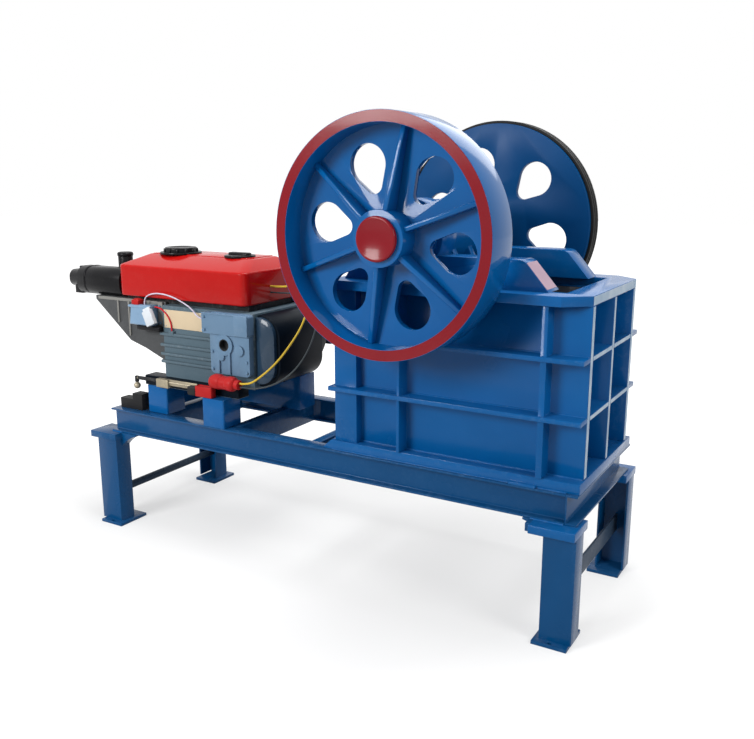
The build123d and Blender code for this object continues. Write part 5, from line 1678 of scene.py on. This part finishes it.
@dataclass(frozen=True)
class CordRoute:
    """The route of one cable, with bends as heights above the engine's bed.

    Attributes:
        node: The frame's node that the cable stands for.
        slot: The slot that it takes its finish from.
        diameter: Its thickness.
        length: Its real length.
        stiffness: How stiff it is.
        bends: Its points from one seat to the other.
    """

    node: str
    slot: str
    diameter: float
    length: float
    stiffness: str
    bends: tuple[Point, ...]


CORD_ROUTES = (
    CordRoute("yellow_cable", "yellow_cable", 10.0, 945.0, "medium", (
        (-1695.0, -372.0, 95.0), (-1640.0, -372.0, 95.0), (-1581.0, -358.0, 136.0),
        (-1525.0, -345.0, 184.0), (-1470.0, -335.0, 241.0), (-1420.0, -325.0, 307.0),
        (-1380.0, -300.0, 379.0), (-1372.0, -255.0, 451.0), (-1405.0, -205.0, 511.0),
        (-1470.0, -160.0, 547.0), (-1550.0, -120.0, 555.0), (-1628.0, -100.0, 539.0),
        (-1700.0, -100.0, 539.0),
    )),
    CordRoute("grey_cable", "grey_cable", 8.0, 1047.0, "medium", (
        (-1695.0, -372.0, 78.0), (-1640.0, -372.0, 78.0), (-1576.0, -362.0, 84.0),
        (-1510.0, -352.0, 106.0), (-1445.0, -345.0, 143.0), (-1385.0, -338.0, 194.0),
        (-1338.0, -325.0, 259.0), (-1312.0, -298.0, 334.0), (-1318.0, -255.0, 404.0),
        (-1356.0, -208.0, 459.0), (-1420.0, -165.0, 497.0), (-1500.0, -130.0, 514.0),
        (-1572.0, -107.0, 515.0), (-1635.0, -100.0, 509.0), (-1700.0, -100.0, 509.0),
    )),
    CordRoute("fuel_hose", "red_hose", 8.0, 188.0, "medium", (
        (-2300.0, -306.0, 415.0), (-2262.0, -306.0, 415.0), (-2222.0, -308.0, 391.0),
        (-2198.0, -309.0, 365.0), (-2182.0, -310.0, 331.0), (-2182.0, -310.0, 299.0),
    )),
    CordRoute("pale_cable", "white_cable", 7.0, 482.0, "limp", (
        (-2362.0, -312.0, 424.0), (-2362.0, -312.0, 459.0), (-2305.0, -318.0, 485.0),
        (-2235.0, -321.0, 491.0), (-2160.0, -322.0, 481.0), (-2090.0, -323.0, 459.0),
        (-2025.0, -324.0, 429.0), (-1985.0, -324.0, 384.0), (-1945.0, -324.0, 384.0),
    )),
)


@dataclass
class Cables:
    """The four cables and hoses on the engine."""

    dresser: Dresser
    routes: tuple[CordRoute, ...] = CORD_ROUTES

    def build(self) -> set[str]:
        """Draws every cable.

        Returns:
            The nodes that they stand for.
        """
        for route in self.routes:
            self._draw(route)
        return {route.node for route in self.routes}

    def _draw(self, route: CordRoute) -> None:
        """Draws one cable as a smooth curve through its route.

        Args:
            route: The cable's route and measures.
        """
        places = [at(x, y, BED_TOP_Z + rise) for x, y, rise in route.bends]
        curve = bpy.data.curves.new(f"{route.node}_sheath", "CURVE")
        curve.dimensions = "3D"
        curve.resolution_u = 12
        curve.bevel_depth = route.diameter * MM / 2
        curve.bevel_resolution = 5
        curve.use_fill_caps = True
        spline = curve.splines.new("NURBS")
        spline.points.add(len(places) - 1)
        for point, place in zip(spline.points, places):
            point.co = (*place, 1.0)
        spline.order_u = 3
        spline.use_endpoint_u = True
        piece = bpy.data.objects.new(curve.name, curve)
        bpy.context.scene.collection.objects.link(piece)
        self.dresser.fit(piece, route.slot, Body.FRAME, route.node)


@dataclass
class CrusherHardware:
    """The bearing covers, weld beads and painted edge highlights of the crusher and its stand."""

    dresser: Dresser
    cover_seat: float = 330.0
    cover_radius: float = 128.0
    cover_thickness: float = 10.0
    cover_step_in: float = 48.0
    cover_step_out: float = 6.0
    bolt: Fastener = Fastener(head=9.0, rise=7.0)
    bolt_circle: float = 108.0
    bolts: int = 8
    bead_radius: float = 5.0
    side_face: float = 316.0
    side_left: float = -1148.0
    side_right: float = -4.0
    low_rib_z: float = BODY_Z + 248.0
    high_rib_z: float = BODY_Z + 490.0
    rib_half: float = 10.0
    base_joint: float = 376.0
    base_left: float = -1160.0
    base_right: float = -48.0
    rail_joint: float = 395.0
    leg_spans: tuple[Span, ...] = ((-2572.0, -2504.0), (-188.0, -48.0))
    end_panel_x: float = -80.0
    end_panel_half: float = 278.0
    end_joints: tuple[float, ...] = (-279.0, -15.0, 15.0, 279.0)
    skin: float = 0.8
    highlight_flange_half: float = 313.0
    highlight_flange_gap: float = 3.0
    highlight_post_gap: float = 4.0
    highlight_rib_half: float = 8.0
    highlight_rib_spans: tuple[Span, ...] = ((-277.0, -18.0), (18.0, 277.0))
    highlight_posts: tuple[Span, ...] = ((-298.0, 14.0), (0.0, 11.0), (298.0, 14.0))
    slope_foot: float = -179.0
    slope_shoulder: float = -284.0
    slope_share: float = 0.42
    slope_y: float = -256.0
    slope_half_width: float = 56.0
    stand_rise: float = 120.0
    rail_bottom_z: float = 508.0
    head_low: float = 472.0
    head_high: float = 508.5
    head_left: float = -172.0
    head_right: float = 22.0
    head_inner: float = 295.0
    head_outer: float = 464.0

    def build(self) -> set[str]:
        """Adds every small part of the crusher and the stand.

        Returns:
            An empty set, because no node is replaced.
        """
        self._bearing_covers()
        self._beads()
        self._painted_edge_highlights()
        self._pinkish_slope_skin()
        self._leg_heads()
        return set()

    def _bearing_covers(self) -> None:
        """Bolts a cover ring on both bearing housings."""
        for side in Side:
            seat = side.value * self.cover_seat
            middle = seat + side.value * self.cover_thickness / 2
            ring = Bench.drum("bearing_cover", (SHAFT_X, middle, SHAFT_Z), Axis.Y, self.cover_radius,
                              self.cover_thickness, 72)
            Bench.pick(ring, lambda part: part.normal.y * side.value > FACING)
            Bench.inset(self.cover_step_in)
            Bench.extrude((0.0, side.value * self.cover_step_out, 0.0))
            Bench.done()
            Bench.bevel(ring, 2.5, segments=3)
            self.dresser.fasten(ring, "blue_paint")
            face = seat + side.value * self.cover_thickness
            places = [(SHAFT_X + self.bolt_circle * math.cos(turn), face,
                       SHAFT_Z + self.bolt_circle * math.sin(turn))
                      for turn in (math.tau * k / self.bolts for k in range(self.bolts))]
            way = Way.FRONT if side is Side.NEAR else Way.BACK
            self.dresser.fit(self.bolt.row("bearing_bolts", way, places), "machined_steel", Body.FRAME)

    def _beads(self) -> None:
        """Lays the weld beads along the ribs, the flanges and the legs' heads."""
        left = self.side_left
        right = self.side_right
        beads = []
        for sign in (-1.0, 1.0):
            y = sign * self.side_face
            for z in (self.low_rib_z, self.high_rib_z):
                for edge in (-self.rib_half, self.rib_half):
                    beads.append(self._bead((left, y, z + edge), (right, y, z + edge)))
            for z in (BODY_Z, FLANGE_UNDER_Z):
                beads.append(self._bead((left, y, z), (right, y, z)))
            y = sign * self.base_joint
            beads.append(self._bead((self.base_left, y, RAIL_TOP_Z), (self.base_right, y, RAIL_TOP_Z)))
            y = sign * self.rail_joint
            z = self.rail_bottom_z
            for low_x, high_x in self.leg_spans:
                beads.append(self._bead((low_x, y, z), (high_x, y, z)))
        x = self.end_panel_x
        half = self.end_panel_half
        for y in self.end_joints:
            beads.append(self._bead((x, y, BODY_Z), (x, y, FLANGE_UNDER_Z)))
        for z in (self.low_rib_z, self.high_rib_z):
            for edge in (-self.rib_half, self.rib_half):
                beads.append(self._bead((x, -half, z + edge), (x, half, z + edge)))
        self.dresser.fasten(Bench.join("weld_beads", beads), "blue_paint")

    def _bead(self, start: Point, end: Point) -> bpy.types.Object:
        """Lays one weld bead along a straight joint.

        Args:
            start: The joint's first end.
            end: Its other end.

        Returns:
            The bead.
        """
        run = Vector(end) - Vector(start)
        middle = (Vector(start) + Vector(end)) / 2
        axis = max(Axis, key=lambda way: abs(run["XYZ".index(way.name)]))
        bead = Bench.drum("weld_bead", tuple(middle), axis, self.bead_radius, run.length, 10)
        return Bench.bevel(bead, 1.5, segments=1)

    def _painted_edge_highlights(self) -> None:
        """Lays pale strips of painted highlight on the edges of the top flange, the ribs and the posts at
        the ribbed end.
        """
        reach = self.highlight_flange_half
        half_rib = self.highlight_rib_half
        gap = self.highlight_flange_gap
        skins = [((-reach, reach), (FLANGE_UNDER_Z + gap, FLANGE_TOP_Z - gap))]
        for z in (self.low_rib_z, self.high_rib_z):
            skins += [(span, (z - half_rib, z + half_rib)) for span in self.highlight_rib_spans]
        gap = self.highlight_post_gap
        skins += [((y - half, y + half), (BODY_Z + gap, FLANGE_UNDER_Z - gap))
                  for y, half in self.highlight_posts]
        edges = []
        for (low_y, high_y), (low_z, high_z) in skins:
            edge = Bench.block("painted_edge_highlight", (-self.skin, low_y, low_z), (self.skin, high_y, high_z))
            edges.append(Bench.bevel(edge, self.skin / 2, segments=1))
        self.dresser.fit(Bench.join("painted_edge_highlights", edges), "worn_blue", Body.FRAME)

    def _pinkish_slope_skin(self) -> None:
        """Lays a thin pinkish grey skin over the near stand's slope."""
        run = self.slope_foot - self.slope_shoulder
        reach = math.hypot(run, self.stand_rise) * self.slope_share
        x = (self.slope_foot + self.slope_shoulder) / 2
        z = FLANGE_TOP_Z + self.stand_rise / 2
        half = self.slope_half_width
        skin = Bench.block("pinkish_slope_skin", (x - reach, self.slope_y - half, z - self.skin),
                           (x + reach, self.slope_y + half, z + self.skin))
        skin.matrix_world = Bench.turn(at(x, self.slope_y, z), math.atan2(self.stand_rise, run), "Y")
        skin = Bench.settle(skin, "pinkish_slope_skin")
        self.dresser.fit(Bench.bevel(skin, self.skin / 2, segments=1), "pink_primer", Body.FRAME)

    def _leg_heads(self) -> None:
        """Gives the right legs the whole length of their head plates, which shade the channels below."""
        plates = []
        for side in Side:
            low_y, high_y = sorted((side.value * self.head_inner, side.value * self.head_outer))
            plate = Bench.block("head_plate", (self.head_left, low_y, self.head_low),
                                (self.head_right, high_y, self.head_high))
            plates.append(Bench.bevel(plate, 3.0, segments=3))
        self.dresser.fasten(Bench.join("head_plates", plates), "blue_paint")


def main() -> None:
    """Builds the machine around the frame."""
    logging.basicConfig(level=logging.INFO, format="%(message)s")
    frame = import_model()
    Studio().build()
    dresser = Dresser(frame, Effects())
    assemblies = (
        Flywheel(dresser, Side.NEAR, "near_flywheel", edge_y=-416.0, width=190.0, web_start=56.0,
                 hole_angle=50.0),
        Flywheel(dresser, Side.FAR, "far_flywheel", edge_y=560.0, width=120.0, web_start=0.0,
                 hole_angle=47.0),
        HubCaps(dresser),
        TankHood(dresser),
        FillerCaps(dresser),
        AirCleaner(dresser),
        EngineCasting(dresser),
        FilterCorner(dresser),
        StarterCorner(dresser),
        Cables(dresser),
        CrusherHardware(dresser),
    )
    done: set[str] = set()
    for assembly in assemblies:
        done |= assembly.build()
    dresser.dress_all(done)


if __name__ == "__main__":
    main()
